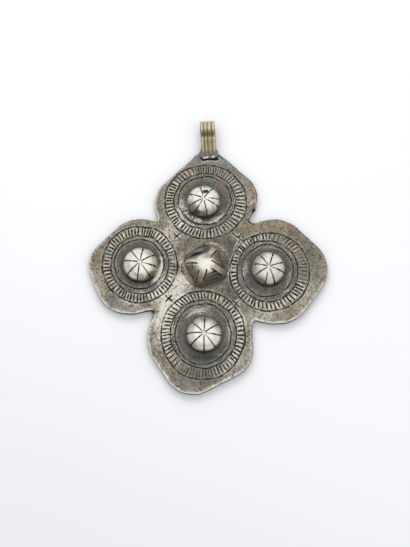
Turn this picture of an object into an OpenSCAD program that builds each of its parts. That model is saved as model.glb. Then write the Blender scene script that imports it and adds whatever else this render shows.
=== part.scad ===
// Four-lobed silver pendant with five raised bosses and a reeded bail.
// It lies on its flat back: +Z points out of its front, +Y towards the bail.
// The origin is on the back face, on the axis of the centre boss. Millimetres.

/* [Plate] */
// Thickness of the plate
plate_t = 1.6; // [1.4:0.1:2.0]
// Height of the raised mound under each lobe's boss
mound_h = 1.7; // [1.4:0.1:2.0]
// Height of the raised collar round the centre boss
collar_h = 0.45; // [0.3:0.05:0.6]

/* [Lobe bosses] */
// Height of the upright wall at the foot of a domed head
head_wall_h = 0.6; // [0.4:0.1:0.8]
// Height of the dome above that wall
dome_h = 3.3; // [3.0:0.1:3.6]
// Radius of the stem that goes through the plate
stem_r = 1.5; // [1.3:0.1:1.7]
// Radius of the hammered end of the stem, flush with the back
peen_r = 2.2; // [2.0:0.1:2.4]

/* [Centre boss] */
// Distance from the axis to a flat side of the foot
facet_reach = 4.8; // [4.6:0.1:5.0]
// Width of the flat band along each of the four ridges
band_w = 1.9; // [1.6:0.1:2.0]
// Height of the boss above the plate
centre_h = 5.7; // [5.4:0.1:6.0]
// Turn of the boss about its own axis, in degrees
centre_turn = -20.7; // [-24:0.1:-18]

/* [Bail] */
// Width of the reeded strip
strip_w = 4.1; // [4.0:0.1:4.4]
// Thickness of the strip
strip_t = 0.65; // [0.6:0.05:0.7]
// Radius of the hole through the bail's eye
eye_r = 1.45; // [1.35:0.05:1.5]
// Lean of the bail to the left, in degrees
bail_lean = 3.3; // [2:0.1:5]

/* [Engraving] */
// Width of an engraved line
line_w = 0.3; // [0.2:0.05:0.4]
// Depth of an engraved line
line_d = 0.15; // [0.1:0.05:0.2]
// Number of short radial lines in each medallion's hatched band
hatch_count = 62; // [48:2:72]

/* [Hidden] */

$fn = 72;
SILVER_AGED = [0.56, 0.53, 0.48];
SILVER_BRIGHT = [0.84, 0.82, 0.77];

// Clearance between a boss and what it sits in or on
seat_gap = 0.05;
// How far a cutting shape reaches past the surface that it opens
past = 0.5;
// Greatest turn of the outline between two of its points, in degrees
outline_step = 7;

// The outline runs round circles laid tangent to tangent, counter-clockwise from the right tip.
// Columns: centre x, centre y, radius. A negative radius is a notch, rounded inwards.
OUTLINE = [
    [ 26.4,   0.2,  6.9],
    [ 18.6,   3.9,  9.8],
    [ 13.9,  13.9, -1.1],
    [  7.2,  19.3,  7.4],
    [  0.9,  26.9,  6.4],
    [ -6.3,  18.0,  8.0],
    [-14.5,  14.1, -1.0],
    [-18.3,   4.5,  9.3],
    [-25.4,   0.8,  7.0],
    [-21.4,  -4.0,  9.1],
    [-15.5, -13.0, -1.0],
    [ -6.2, -19.7,  9.9],
    [ -3.6, -26.7,  8.2],
    [  5.0, -22.9,  7.8],
    [ 13.9, -15.8, -1.1],
    [ 19.6,  -4.7, 10.7]
];

// One row for each lobe's medallion, cut and set by eye, so no two are alike.
// Columns: rings' centre x and y, radius of the outer, the hatch and the mound ring,
// centre x and y of the domed head, its radius.
LOBE_TOP    = [ -0.3,  18.8, 10.9, 8.2, 7.2,  -0.7,  18.3, 4.5];
LOBE_RIGHT  = [ 17.1,  -1.0, 10.9, 8.5, 7.2,  17.0,  -0.7, 4.6];
LOBE_BOTTOM = [ -0.9, -18.5, 11.7, 9.2, 8.0,  -0.6, -18.8, 4.75];
LOBE_LEFT   = [-18.4,   0.9, 10.5, 8.1, 6.8, -18.0,   0.5, 4.7];
LOBES = [LOBE_TOP, LOBE_RIGHT, LOBE_BOTTOM, LOBE_LEFT];
RING_X = 0;
RING_Y = 1;
OUTER_R = 2;
HATCH_R = 3;
MOUND_R = 4;
HEAD_X = 5;
HEAD_Y = 6;
HEAD_R = 7;

// Directions of the lines engraved on each domed head, in degrees from +X
SPOKES_TOP    = [104, 156, -162, -123, -77, -25, 3, 53];
SPOKES_RIGHT  = [124, 72, 20, -16, -67, -103, -152, 165];
SPOKES_BOTTOM = [87, 35, -6, -50, -90, -140, 178, 135];
SPOKES_LEFT   = [125, 79, 33, -11, -52, -99, -139, 170];
spoke_start = 0.6;

// Plain strip left between the hatching and the ring on either side of it
hatch_clear = 0.35;

// Small engraved crosses. Columns: centre x, centre y, turn in degrees, arm length
CROSSES = [
    [ -8.1,   8.9, 52, 1.3],
    [-10.2,  -8.6, 45, 1.6],
    [  8.8,   8.6, 52, 1.5],
    [  8.2, -10.0, 45, 1.4]
];

// Furthest reach of the centre boss, at the end of a ridge
ridge_reach = facet_reach * sqrt(2) - band_w / 2;

// Collar round the centre boss: foot inside, crest and foot outside, as radii
collar_in = ridge_reach + 0.2;
collar_crest = collar_in + 0.4;
collar_out = collar_crest + 0.75;

// Top of a mound, its foot's step in from the mound ring, and its crown's from the head's edge
mound_top = plate_t + mound_h;
mound_foot_in = 0.35;
mound_crown_in = 0.15;
peen_h = 0.6;

// Ridges of the centre boss, from its foot to its worn top.
// Columns: share of the facet's reach, share of the boss's height
RIDGE = [
    [1.00, 0.00],
    [1.00, 0.18],
    [0.90, 0.42],
    [0.72, 0.66],
    [0.50, 0.85],
    [0.32, 0.95],
    [0.18, 1.00]
];

// Bail, drawn upright: its foot is on the plate's tip and y runs up the strip to the eye
bail_foot = [0.75, 32.8];
foot_reach = 1.7;
eye_out_r = eye_r + strip_t;
eye_rise = 6.9;
eye_wall_in = 0.6 * eye_out_r;
// The front leg lies on the plate and the back leg meets the plate's edge, both sunk in solder
solder_sink = 0.05;
front_leg_z = plate_t - solder_sink;
back_leg_z = front_leg_z - strip_t;
back_leg_start = 0.1;
solder_r = 0.42;
rib_count = 4;
rib_pitch = strip_w / rib_count;
reed_d = 0.18;
reed_w = 0.36;

function wrap(angle) = (angle % 360 + 360) % 360;

// Direction of travel along the common tangent from circle a to circle b
function heading(a, b) =
    atan2(b.y - a.y, b.x - a.x) - asin((b[2] - a[2]) / norm([b.x - a.x, b.y - a.y]));

// Points of the arc on one circle, between the tangents that reach and leave it
function arc_points(before, here, after) =
    let (
        start = heading(before, here),
        swing = here[2] > 0 ? wrap(heading(here, after) - start) : -wrap(start - heading(here, after)),
        steps = max(1, ceil(abs(swing) / outline_step))
    )
    [for (k = [0 : steps])
        let (a = start + swing * k / steps)
        [here.x + here[2] * sin(a), here.y - here[2] * cos(a)]];

function outline_points() =
    let (n = len(OUTLINE))
    [for (i = [0 : n - 1])
        each arc_points(OUTLINE[(i + n - 1) % n], OUTLINE[i], OUTLINE[(i + 1) % n])];

// A shallow V groove in a circle, cut down into a flat face at height z
module ring_groove(radius, z) {
    rotate_extrude()
        polygon([
            [radius - line_w, z + line_d],
            [radius, z - line_d],
            [radius + line_w, z + line_d]
        ]);
}

// Concave flank rising from the foot ring to the seat of the head
module mound(foot_r, crown_r) {
    steps = 5;
    rotate_extrude()
        polygon(concat(
            [[0, plate_t - past]],
            [[foot_r, plate_t - past]],
            [for (k = [0 : steps])
                let (a = 90 * k / steps)
                [foot_r - (foot_r - crown_r) * sin(a), plate_t + mound_h * (1 - cos(a))]],
            [[0, mound_top]]
        ));
}

module collar() {
    rotate_extrude()
        polygon([
            [collar_in, plate_t - past],
            [collar_in, plate_t],
            [collar_crest, plate_t + collar_h],
            [collar_out, plate_t],
            [collar_out, plate_t - past]
        ]);
}

// Hole for a stem, opened out at the back for its hammered end
module stem_hole(depth) {
    translate([0, 0, -past])
        cylinder(h = depth + 2 * past, r = stem_r + seat_gap);
    translate([0, 0, -seat_gap])
        cylinder(h = peen_h + seat_gap, r1 = peen_r + 2 * seat_gap, r2 = stem_r + seat_gap);
}

module stem(top) {
    cylinder(h = top, r = stem_r);
    cylinder(h = peen_h, r1 = peen_r, r2 = stem_r);
}

// Short radial cuts that fill the band between the hatch ring and the outer ring
module hatching(inner_r, outer_r) {
    for (k = [0 : hatch_count - 1])
        rotate([0, 0, 360 * k / hatch_count])
            translate([inner_r + hatch_clear, -line_w / 2, plate_t - line_d])
                cube([outer_r - inner_r - 2 * hatch_clear, line_w, 2 * line_d]);
}

module cross_cut(arm) {
    for (turn = [0, 90])
        rotate([0, 0, turn])
            translate([-arm / 2, -line_w / 2, plate_t - line_d])
                cube([arm, line_w, 2 * line_d]);
}

// Extrudes a side view, drawn with y to the right and z up, across the strip's width
module across_strip() {
    rotate([90, 0, 90])
        translate([0, 0, -strip_w / 2])
            linear_extrude(height = strip_w)
                children();
}

// The strip runs up from the front foot, round the eye and down behind
module strip() {
    legs_top = eye_rise - eye_wall_in;
    across_strip()
        translate([eye_rise, eye_out_r])
            circle(r = eye_out_r);
    across_strip()
        polygon([
            [-foot_reach, front_leg_z],
            [-foot_reach, front_leg_z + strip_t],
            [legs_top, front_leg_z + strip_t],
            [legs_top, back_leg_z],
            [back_leg_start, back_leg_z],
            [back_leg_start, front_leg_z]
        ]);
}

// A straight V groove along the strip, in a face at height z; side is 1 for a face that looks up
module leg_groove(z, side) {
    translate([0, -foot_reach - past, z])
        rotate([-90, 0, 0])
            linear_extrude(height = foot_reach + past + eye_rise - eye_out_r)
                polygon([[0, side * reed_d], [reed_w, -side * reed_d], [-reed_w, -side * reed_d]]);
}

module eye_groove() {
    translate([0, eye_rise, eye_out_r])
        rotate([0, 90, 0])
            rotate_extrude()
                polygon([
                    [eye_out_r - reed_d, 0],
                    [eye_out_r + reed_d, -reed_w],
                    [eye_out_r + reed_d, reed_w]
                ]);
}

// Grooves between the ribs, round the eye and down both outer faces of the legs
module reeding() {
    for (k = [1 : rib_count - 1])
        translate([k * rib_pitch - strip_w / 2, 0, 0]) {
            eye_groove();
            leg_groove(front_leg_z + strip_t, 1);
            leg_groove(back_leg_z, -1);
        }
}

module bail() {
    translate([bail_foot.x, bail_foot.y, 0])
        rotate([0, 0, bail_lean]) {
            difference() {
                strip();
                across_strip()
                    translate([eye_rise, eye_out_r])
                        circle(r = eye_r);
                reeding();
            }
            across_strip()
                translate([-foot_reach, plate_t])
                    circle(r = solder_r);
        }
}

// The flat sheet with its four mounds
module plate_blank() {
    linear_extrude(height = plate_t)
        polygon(outline_points());
    for (lobe = LOBES)
        translate([lobe[HEAD_X], lobe[HEAD_Y], 0])
            mound(lobe[MOUND_R] - mound_foot_in, lobe[HEAD_R] - mound_crown_in);
}

// Everything that is cut into the front face of the sheet
module engraving() {
    for (lobe = LOBES) {
        translate([lobe[RING_X], lobe[RING_Y], 0]) {
            ring_groove(lobe[OUTER_R], plate_t);
            ring_groove(lobe[HATCH_R], plate_t);
            hatching(lobe[HATCH_R], lobe[OUTER_R]);
        }
        translate([lobe[HEAD_X], lobe[HEAD_Y], 0])
            ring_groove(lobe[MOUND_R], plate_t);
    }
    for (mark = CROSSES)
        translate([mark.x, mark.y, 0])
            rotate([0, 0, mark.z])
                cross_cut(mark[3]);
}

// The collar and the bail's solder lie over the engraving where they meet it
module plate_with_bail() {
    color(SILVER_AGED)
        difference() {
            union() {
                difference() {
                    plate_blank();
                    engraving();
                }
                collar();
                bail();
            }
            for (lobe = LOBES)
                translate([lobe[HEAD_X], lobe[HEAD_Y], 0])
                    stem_hole(mound_top);
            stem_hole(plate_t);
        }
}

// Radial lines cut into a dome down to an inner sphere
module spoke_cut(radius, dome_r, spokes) {
    difference() {
        for (angle = spokes)
            rotate([0, 0, angle])
                translate([spoke_start, -line_w / 2, 0])
                    cube([radius, line_w, dome_r + past]);
        sphere(r = dome_r - line_d);
    }
}

// Domed head with its stem; the sphere's centre lies below the top of the foot wall
module domed_boss(lobe, spokes) {
    radius = lobe[HEAD_R];
    dome_r = (radius * radius + dome_h * dome_h) / (2 * dome_h);
    foot = mound_top + seat_gap;
    centre_z = foot + head_wall_h + dome_h - dome_r;
    color(SILVER_BRIGHT)
        translate([lobe[HEAD_X], lobe[HEAD_Y], 0]) {
            difference() {
                intersection() {
                    translate([0, 0, foot])
                        cylinder(h = head_wall_h + dome_h + past, r = radius);
                    translate([0, 0, centre_z])
                        sphere(r = dome_r);
                }
                translate([0, 0, centre_z])
                    spoke_cut(radius, dome_r, spokes);
            }
            stem(foot + head_wall_h);
        }
}

module boss_top() {
    domed_boss(LOBE_TOP, SPOKES_TOP);
}

module boss_right() {
    domed_boss(LOBE_RIGHT, SPOKES_RIGHT);
}

module boss_bottom() {
    domed_boss(LOBE_BOTTOM, SPOKES_BOTTOM);
}

module boss_left() {
    domed_boss(LOBE_LEFT, SPOKES_LEFT);
}

// A straight vault along X with the boss's side profile, drawn out by a factor and then trimmed
module vault(draw_out, trim) {
    side = [for (row = RIDGE) [row[0] * facet_reach * draw_out - trim, row[1] * centre_h]];
    other_side = [for (k = [len(side) - 1 : -1 : 0]) [-side[k].x, side[k].y]];
    length = 4 * facet_reach;
    rotate([90, 0, 90])
        translate([0, 0, -length / 2])
            linear_extrude(height = length)
                polygon(concat(side, other_side));
}

// Four facets meet at four ridges, and the ridges are flattened into bands
module boss_centre() {
    foot = plate_t + seat_gap;
    color(SILVER_BRIGHT) {
        translate([0, 0, foot])
            rotate([0, 0, centre_turn])
                intersection() {
                    rotate([0, 0, 45])
                        vault(1, 0);
                    rotate([0, 0, -45])
                        vault(1, 0);
                    vault(sqrt(2), band_w / 2);
                    rotate([0, 0, 90])
                        vault(sqrt(2), band_w / 2);
                }
        stem(foot + 1);
    }
}

plate_with_bail();
boss_top();
boss_right();
boss_bottom();
boss_left();
boss_centre();
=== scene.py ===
"""A four-lobed silver pendant with five bosses, lying on its back on a pale table.

Sizes inside the classes are millimetres, and a mesh is turned into metres when it is built.
The origin is on the back of the plate, on the axis of the centre boss; +Y is towards the bail.
"""

import logging
import math
from collections.abc import Sequence
from dataclasses import dataclass, field
from enum import Enum
from typing import Any

import bpy
import numpy as np
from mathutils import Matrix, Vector, kdtree, noise
from mathutils.geometry import delaunay_2d_cdt


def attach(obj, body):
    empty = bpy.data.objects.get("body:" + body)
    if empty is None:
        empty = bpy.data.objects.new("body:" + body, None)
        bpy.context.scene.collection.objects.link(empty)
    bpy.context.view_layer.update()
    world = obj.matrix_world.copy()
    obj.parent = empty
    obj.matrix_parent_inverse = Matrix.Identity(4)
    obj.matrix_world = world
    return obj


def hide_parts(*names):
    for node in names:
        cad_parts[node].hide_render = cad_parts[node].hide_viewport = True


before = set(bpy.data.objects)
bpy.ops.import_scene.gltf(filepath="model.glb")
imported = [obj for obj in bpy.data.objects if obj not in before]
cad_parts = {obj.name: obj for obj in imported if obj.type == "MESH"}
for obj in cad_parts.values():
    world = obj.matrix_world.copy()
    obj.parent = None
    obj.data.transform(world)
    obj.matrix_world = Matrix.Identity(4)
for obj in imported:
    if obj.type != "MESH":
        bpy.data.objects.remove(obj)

LOG = logging.getLogger("pendant")
MM = 0.001
FULL_TURN = 2 * math.pi
BODY = "root"
TINY = 1e-9
# Steps along a curved line on the plate, and on a boss.
PATH_STEP = 0.3
FINE_STEP = 0.25

Colour = tuple[float, float, float]
Place = tuple[float, float]
Setting = dict[str, Any]


class Slot(Enum):
    """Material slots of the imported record."""

    AGED = "aged_silver"
    POLISHED = "polished_silver"


class Mark(Enum):
    """What time and use have left on the metal, kept as a number at each point of a mesh; the cut mark also
    carries painted shadow and shade, and the wear mark painted highlight.
    """

    CUT = "cut"
    TARNISH = "tarnish"
    WORN = "worn"
    COPPER = "copper"
    FILM = "film"


Marks = dict[Mark, float | np.ndarray]


def bearing(angle: float) -> np.ndarray:
    """Unit vector that points at an angle in degrees from +X."""
    return np.array([math.cos(math.radians(angle)), math.sin(math.radians(angle))])


def ease(value: float | np.ndarray, low: float | np.ndarray, high: float | np.ndarray) -> np.ndarray:
    """Rises smoothly from 0 to 1 as the value goes from low to high."""
    share = np.clip((np.asarray(value, float) - low) / (high - low), 0.0, 1.0)
    return share * share * (3 - 2 * share)


def ripple(points: np.ndarray, pitch: float, layer: float) -> np.ndarray:
    """Smooth bumps from about -0.5 to 0.5 over a set of places.

    Args:
        points: the places, one row each, with two or three columns.
        pitch: the usual distance between two bumps.
        layer: picks one pattern of bumps out of many.

    Returns:
        One height for each place.
    """
    rows = np.asarray(points, float) / pitch
    third = rows[:, 2] if rows.shape[1] > 2 else np.zeros(len(rows))
    return np.array([
        noise.noise(Vector((x, y, z + layer * 17.3)))
        for x, y, z in zip(rows[:, 0], rows[:, 1], third)
    ])


def ripple_at(place: Sequence[float], pitch: float, layer: float) -> float:
    """Height of the ripples at one place."""
    return ripple(np.array([place]), pitch, layer)[0]


def turns_of(points: np.ndarray) -> np.ndarray:
    """Direction of each place from the origin, in degrees from -180 to 180."""
    return np.degrees(np.arctan2(points[:, 1], points[:, 0]))


def turn_gap(turns: np.ndarray, angle: float) -> np.ndarray:
    """Angle between each direction and a given one, from 0 to 180 degrees."""
    return np.abs((turns - angle + 180) % 360 - 180)


def at_height(points: np.ndarray, height: float | np.ndarray) -> np.ndarray:
    """Flat points lifted to one height, or each to its own."""
    return np.column_stack([points, np.broadcast_to(height, len(points))])


def distances(path: np.ndarray) -> np.ndarray:
    """Distance along a path from its start to each of its points."""
    return np.concatenate([[0], np.cumsum(np.linalg.norm(np.diff(path, axis=0), axis=1))])


def directions(path: np.ndarray) -> np.ndarray:
    """Unit vector along a path at each of its points."""
    way = np.gradient(path, axis=0)
    return way / np.maximum(np.linalg.norm(way, axis=1), TINY)[:, None]


def even_steps(path: np.ndarray, step: float) -> np.ndarray:
    """Points at an even step along a path, ends kept.

    Args:
        path: the path's points, one row each.
        step: distance between two points of the result.

    Returns:
        The new points.
    """
    along = distances(path)
    wanted = np.linspace(0, along[-1], max(2, int(round(along[-1] / step)) + 1))
    return np.column_stack([np.interp(wanted, along, column) for column in path.T])


def curve_through(places: Sequence[Place], step: float) -> np.ndarray:
    """Smooth curve through a few places, as points at an even step.

    Args:
        places: the places that the curve goes through.
        step: distance between two points of the result.

    Returns:
        The points, one row each.
    """
    knots = np.asarray(places, float)
    padded = np.vstack([2 * knots[0] - knots[1], knots, 2 * knots[-1] - knots[-2]])
    dense = []
    for a, b, c, d in zip(padded, padded[1:], padded[2:], padded[3:]):
        for t in np.linspace(0, 1, 24, endpoint=False):
            dense.append(0.5 * (
                2 * b + (c - a) * t + (2 * a - 5 * b + 4 * c - d) * t * t
                + (3 * b - a - 3 * c + d) * t ** 3
            ))
    dense.append(padded[-2])
    return even_steps(np.array(dense), step)


@dataclass(frozen=True)
class Stroke:
    """One line cut into the metal, in the flat pattern of the surface that carries it."""

    path: np.ndarray
    half_width: float = 0.16
    depth: float = 0.13
    dirt: float = 1.0
    fades: bool = True
    burr: float = 1.0
    uneven: float = 0.6
    flare: float = 0.0

    def stations(self, step: float) -> np.ndarray:
        """Places along the line.

        Args:
            step: distance between two places.

        Returns:
            Rows of x, y, direction x, direction y, half width, depth, dirt and burr.
        """
        points = even_steps(np.asarray(self.path, float), step)
        along = np.linspace(0, 1, len(points))
        to_end = np.minimum(along, 1 - along) * step * (len(points) - 1)
        swell = 0.45 + 0.55 * ease(to_end, 0.0, 0.45) if self.fades else np.ones(len(points))
        swell = swell * (1 + self.flare * (along - 0.4))
        swell = swell * np.clip(1 + self.uneven * ripple(points, 0.7, 71.0), 0.4, 1.35)
        shown = np.clip(1 + 1.4 * self.uneven * ripple(points, 1.3, 72.0), 0.25, 1.2)
        return np.column_stack([
            points,
            directions(points),
            self.half_width * swell,
            self.depth * swell,
            self.dirt * swell * shown,
            self.burr * self.dirt * swell,
        ])


@dataclass(frozen=True)
class Cuts:
    """What the lines do at each point of a surface."""

    depth: np.ndarray
    cut: np.ndarray
    grime: np.ndarray
    burr: np.ndarray


def search_tree(points: np.ndarray) -> kdtree.KDTree:
    """Search tree over flat points.

    Args:
        points: rows of x and y.

    Returns:
        The tree, in which each point has its row's number.
    """
    tree = kdtree.KDTree(len(points))
    for k, (x, y) in enumerate(points):
        tree.insert((x, y, 0), k)
    tree.balance()
    return tree


def gap_to(targets: np.ndarray, points: np.ndarray) -> np.ndarray:
    """Distance from each point to the nearest of the targets."""
    tree = search_tree(targets)
    return np.array([tree.find((x, y, 0))[2] for x, y in points])


class Engraving:
    """All the lines cut into one surface, and how deep and how dirty each place is."""

    REACH = 0.75
    FINE = 0.09
    COARSE = 0.3
    OFFSETS = (0.0, -0.55, 0.55, -1.0, 1.0, -1.45, 1.45)

    def __init__(self, strokes: Sequence[Stroke]) -> None:
        """Lays the strokes out and builds the search tree over them.

        Args:
            strokes: all the lines.
        """
        self.strokes = list(strokes)
        self.rows = np.vstack([s.stations(self.FINE) for s in strokes])
        self.tree = search_tree(self.rows[:, :2])

    def support(self) -> np.ndarray:
        """Points along and across every line, which the mesh then follows.

        Returns:
            Rows of x and y.
        """
        found = []
        for stroke in self.strokes:
            rows = stroke.stations(self.COARSE)
            across = np.column_stack([-rows[:, 3], rows[:, 2]])
            for offset in self.OFFSETS:
                found.append(rows[:, :2] + across * (rows[:, 4] * offset)[:, None])
        return np.vstack(found)

    def measure(self, points: np.ndarray) -> Cuts:
        """What the lines do at each point.

        Args:
            points: places in the flat pattern.

        Returns:
            The depth in millimetres, how much of a cut shows, the dirt near a cut, and how
            much of the light burr that the tool pushed up beside it.
        """
        depth, cut, grime, burr = (np.zeros(len(points)) for _ in range(4))
        for k, (x, y) in enumerate(points):
            for _, index, gap in self.tree.find_range((x, y, 0), self.REACH):
                sx, sy, wx, wy, half, deep, dirt, lip = self.rows[index]
                ahead = (x - sx) * wx + (y - sy) * wy
                side = abs((x - sx) * wy - (y - sy) * wx)
                off = max(side, gap if abs(ahead) > self.FINE else side) / half
                if off < 1.0:
                    groove = (1 - off * off) ** 1.2
                    depth[k] = max(depth[k], deep * groove)
                    cut[k] = max(cut[k], min(1.0, 1.6 * groove) * dirt)
                elif off < 2.0:
                    burr[k] = max(burr[k], lip * (1 - abs(2 * off - 3)))
                halo = max(0.0, 1 - gap / self.REACH)
                grime[k] = max(grime[k], halo * halo * dirt)
        return Cuts(depth, cut, grime, burr * (cut < 0.05))


class MeshDraft:
    """Points, faces and marks that are gathered piece by piece into one mesh."""

    def __init__(self) -> None:
        """Starts an empty mesh."""
        self.points: list[np.ndarray] = []
        self.marks: list[np.ndarray] = []
        self.faces: list[Sequence[int]] = []
        self.count = 0

    def add(self, points: np.ndarray, marks: Marks | None = None) -> list[int]:
        """Adds points.

        Args:
            points: rows of x, y and z in millimetres.
            marks: the marks at those points; what is left out is 0.

        Returns:
            The numbers of the new points.
        """
        rows = np.asarray(points, float).reshape(-1, 3)
        columns = np.zeros((len(rows), len(Mark)))
        for k, mark in enumerate(Mark):
            if marks and mark in marks:
                columns[:, k] = marks[mark]
        self.points.append(rows)
        self.marks.append(columns)
        first = self.count
        self.count += len(rows)
        return list(range(first, self.count))

    def bridge(self, low: Sequence[int], high: Sequence[int], closed: bool = True) -> None:
        """Joins two runs of as many points with four-sided faces.

        Args:
            low: the numbers of the first run, which the faces start from.
            high: the numbers of the second run.
            closed: whether the runs are rings.
        """
        last = len(low) if closed else len(low) - 1
        for k in range(last):
            n = (k + 1) % len(low)
            self.faces.append((low[k], low[n], high[n], high[k]))

    def grow(self, ring: Sequence[int], points: np.ndarray, marks: Marks | None = None) -> list[int]:
        """Adds a ring of points and joins it to the ring above.

        Args:
            ring: the numbers of the ring above.
            points: as many rows of x, y and z in millimetres.
            marks: the marks at those points.

        Returns:
            The numbers of the new ring.
        """
        lower = self.add(points, marks)
        self.bridge(lower, ring)
        return lower

    def fan(self, ring: Sequence[int], hub: int) -> None:
        """Closes a ring with faces that meet at a hub."""
        for k in range(len(ring)):
            self.faces.append((ring[k], ring[(k + 1) % len(ring)], hub))

    def build(self, name: str, smooth_angle: float = 50.0) -> bpy.types.Object:
        """Makes the Blender object.

        Args:
            name: the piece's name.
            smooth_angle: edges sharper than this many degrees stay crisp.

        Returns:
            The new object, linked to the scene.
        """
        mesh = bpy.data.meshes.new(name)
        used = sorted({n for face in self.faces for n in face})
        place = {old: new for new, old in enumerate(used)}
        faces = [tuple(place[n] for n in face) for face in self.faces]
        mesh.from_pydata((np.vstack(self.points)[used] * MM).tolist(), [], faces)
        table = np.vstack(self.marks)[used]
        for k, mark in enumerate(Mark):
            layer = mesh.attributes.new(mark.value, "FLOAT", "POINT")
            layer.data.foreach_set("value", np.ascontiguousarray(table[:, k], np.float32))
        mesh.validate()
        mesh.shade_smooth()
        mesh.set_sharp_from_angle(angle=math.radians(smooth_angle))
        mesh.update()
        piece = bpy.data.objects.new(name, mesh)
        bpy.context.scene.collection.objects.link(piece)
        return piece


def inside(points: np.ndarray, loop: np.ndarray) -> np.ndarray:
    """Whether each point lies inside a closed loop.

    Args:
        points: rows of x and y.
        loop: the loop's points, in order.

    Returns:
        True or False for each point.
    """
    x, y = points[:, 0][:, None], points[:, 1][:, None]
    ax, ay = loop[:, 0], loop[:, 1]
    bx, by = np.roll(ax, -1), np.roll(ay, -1)
    crosses = (ay > y) != (by > y)
    with np.errstate(divide="ignore", invalid="ignore"):
        at = ax + (y - ay) * (bx - ax) / (by - ay)
    return (np.sum(crosses & (x < at), axis=1) % 2).astype(bool)


@dataclass
class ChasedSheet:
    """A flat pattern with lines cut into it, divided into triangles that follow the lines.

    The margins are kept free along the edges. A point of the grid keeps its distance from
    the edges and from the lines, as shares of the pitch.
    """

    rim: np.ndarray
    engraving: Engraving
    pitch: float
    holes: list[np.ndarray] = field(default_factory=list)
    seams: list[np.ndarray] = field(default_factory=list)
    line_margin: float = 0.1
    line_gap: float = 0.06
    seam_margin: float = 0.12
    seam_gap: float = 0.1
    grid_margin: float = 0.35
    grid_gap: float = 0.62

    def _within(self, points: np.ndarray) -> np.ndarray:
        """Whether each point lies inside the rim and outside every hole."""
        in_hole = [inside(points, hole) for hole in self.holes]
        return inside(points, self.rim) & ~np.any([np.zeros(len(points), bool), *in_hole], axis=0)

    def _allowed(self, points: np.ndarray, margin: float) -> np.ndarray:
        """Points that lie in the sheet and not too near its edges."""
        points = points[self._within(points)]
        return points[gap_to(np.vstack([self.rim, *self.holes]), points) > margin]

    def _spread(self, points: np.ndarray) -> np.ndarray:
        """Drops a point whose cell, as wide as the line gap, is already taken."""
        cells = np.round(points / self.line_gap).astype(int)
        return points[np.sort(np.unique(cells, axis=0, return_index=True)[1])]

    def _points(self) -> np.ndarray:
        """The points inside the sheet: along the lines and seams, and a grid between them.

        Returns:
            Rows of x and y.
        """
        lines = self._spread(self._allowed(self.engraving.support(), self.line_margin))
        if self.seams:
            seams = self._allowed(np.vstack(self.seams), self.seam_margin)
            lines = np.vstack([lines, seams[gap_to(lines, seams) > self.seam_gap]])
        low, high = self.rim.min(axis=0), self.rim.max(axis=0)
        rows = np.arange(low[1], high[1], self.pitch * math.sqrt(0.75))
        cols = np.arange(low[0], high[0], self.pitch)
        grid = np.array([(x + self.pitch / 2 * (k % 2), y) for k, y in enumerate(rows) for x in cols])
        grid = self._allowed(grid, self.grid_margin * self.pitch)
        return np.vstack([lines, grid[gap_to(lines, grid) > self.grid_gap * self.pitch]])

    def triangles(self) -> tuple[np.ndarray, list[Sequence[int]], list[list[int]]]:
        """Divides the sheet.

        Returns:
            The flat points, the triangles, and the point numbers of the rim and of each hole.
        """
        loops = [self.rim, *self.holes]
        ends = np.cumsum([len(loop) for loop in loops])
        runs = [list(range(end - len(loop), end)) for loop, end in zip(loops, ends)]
        edges = [pair for run in runs for pair in zip(run, run[1:] + run[:1])]
        points = [Vector((x, y)) for x, y in np.vstack([*loops, self._points()])]
        flat, _, faces, origins, _, _ = delaunay_2d_cdt(points, edges, [], 1, 1e-6)
        flat = np.array([(v.x, v.y) for v in flat])
        place = {old: new for new, olds in enumerate(origins) for old in olds}
        good = self._within(np.array([flat[list(f)].mean(axis=0) for f in faces]))
        kept = [tuple(f) for f, ok in zip(faces, good) if ok]
        return flat, kept, [[place[k] for k in run] for run in runs]


@dataclass(frozen=True)
class EdgeArc:
    """One circle that the plate's outline runs round; a negative radius is a notch."""

    x: float
    y: float
    radius: float

    def at(self, out: np.ndarray, inset: float) -> np.ndarray:
        """Place on the arc's side that out points to, moved in by inset."""
        return np.array([self.x, self.y]) + (self.radius - inset) * out

    def heading(self, after: "EdgeArc") -> float:
        """Direction in radians of the straight stretch to the next arc."""
        turn = math.asin((after.radius - self.radius) / math.hypot(after.x - self.x, after.y - self.y))
        return math.atan2(after.y - self.y, after.x - self.x) - turn

    def straight(self, after: "EdgeArc") -> float:
        """Length of the straight stretch to the next arc."""
        gap = math.hypot(after.x - self.x, after.y - self.y)
        return math.sqrt(max(0.0, gap * gap - (after.radius - self.radius) ** 2))


@dataclass(frozen=True)
class Ring:
    """A ring cut by hand: nearly a circle, with its own width and height."""

    x: float
    y: float
    wide: float
    high: float

    @property
    def centre(self) -> np.ndarray:
        """The ring's middle."""
        return np.array([self.x, self.y])

    @property
    def mean(self) -> float:
        """Mean of the two radii."""
        return (self.wide + self.high) / 2

    def at(self, angle: float | np.ndarray, swell: float | np.ndarray = 0.0) -> np.ndarray:
        """Places on the ring, moved out by swell.

        Args:
            angle: one direction in degrees, or one for each place.
            swell: how far outside the ring each place is.

        Returns:
            The places.
        """
        turn = np.radians(angle)
        return np.stack([
            self.x + (self.wide + swell) * np.cos(turn),
            self.y + (self.high + swell) * np.sin(turn),
        ], axis=-1)

    def wandering(self, layer: float, unsteady: float = 0.15) -> np.ndarray:
        """The whole ring, with the hand's small wander.

        Args:
            layer: picks one wander out of many.
            unsteady: how far it wanders.

        Returns:
            The points, one row each.
        """
        angles = np.arange(0, 360.1, 2.0)
        around = np.column_stack([np.cos(np.radians(angles)), np.sin(np.radians(angles))])
        return self.at(angles, 2 * unsteady * ripple(around, 0.35, layer))


def circle(x: float, y: float, radius: float, count: int = 40) -> np.ndarray:
    """Closed circle of points."""
    return Ring(x, y, radius, radius).at(np.arange(count) * 360 / count)


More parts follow.
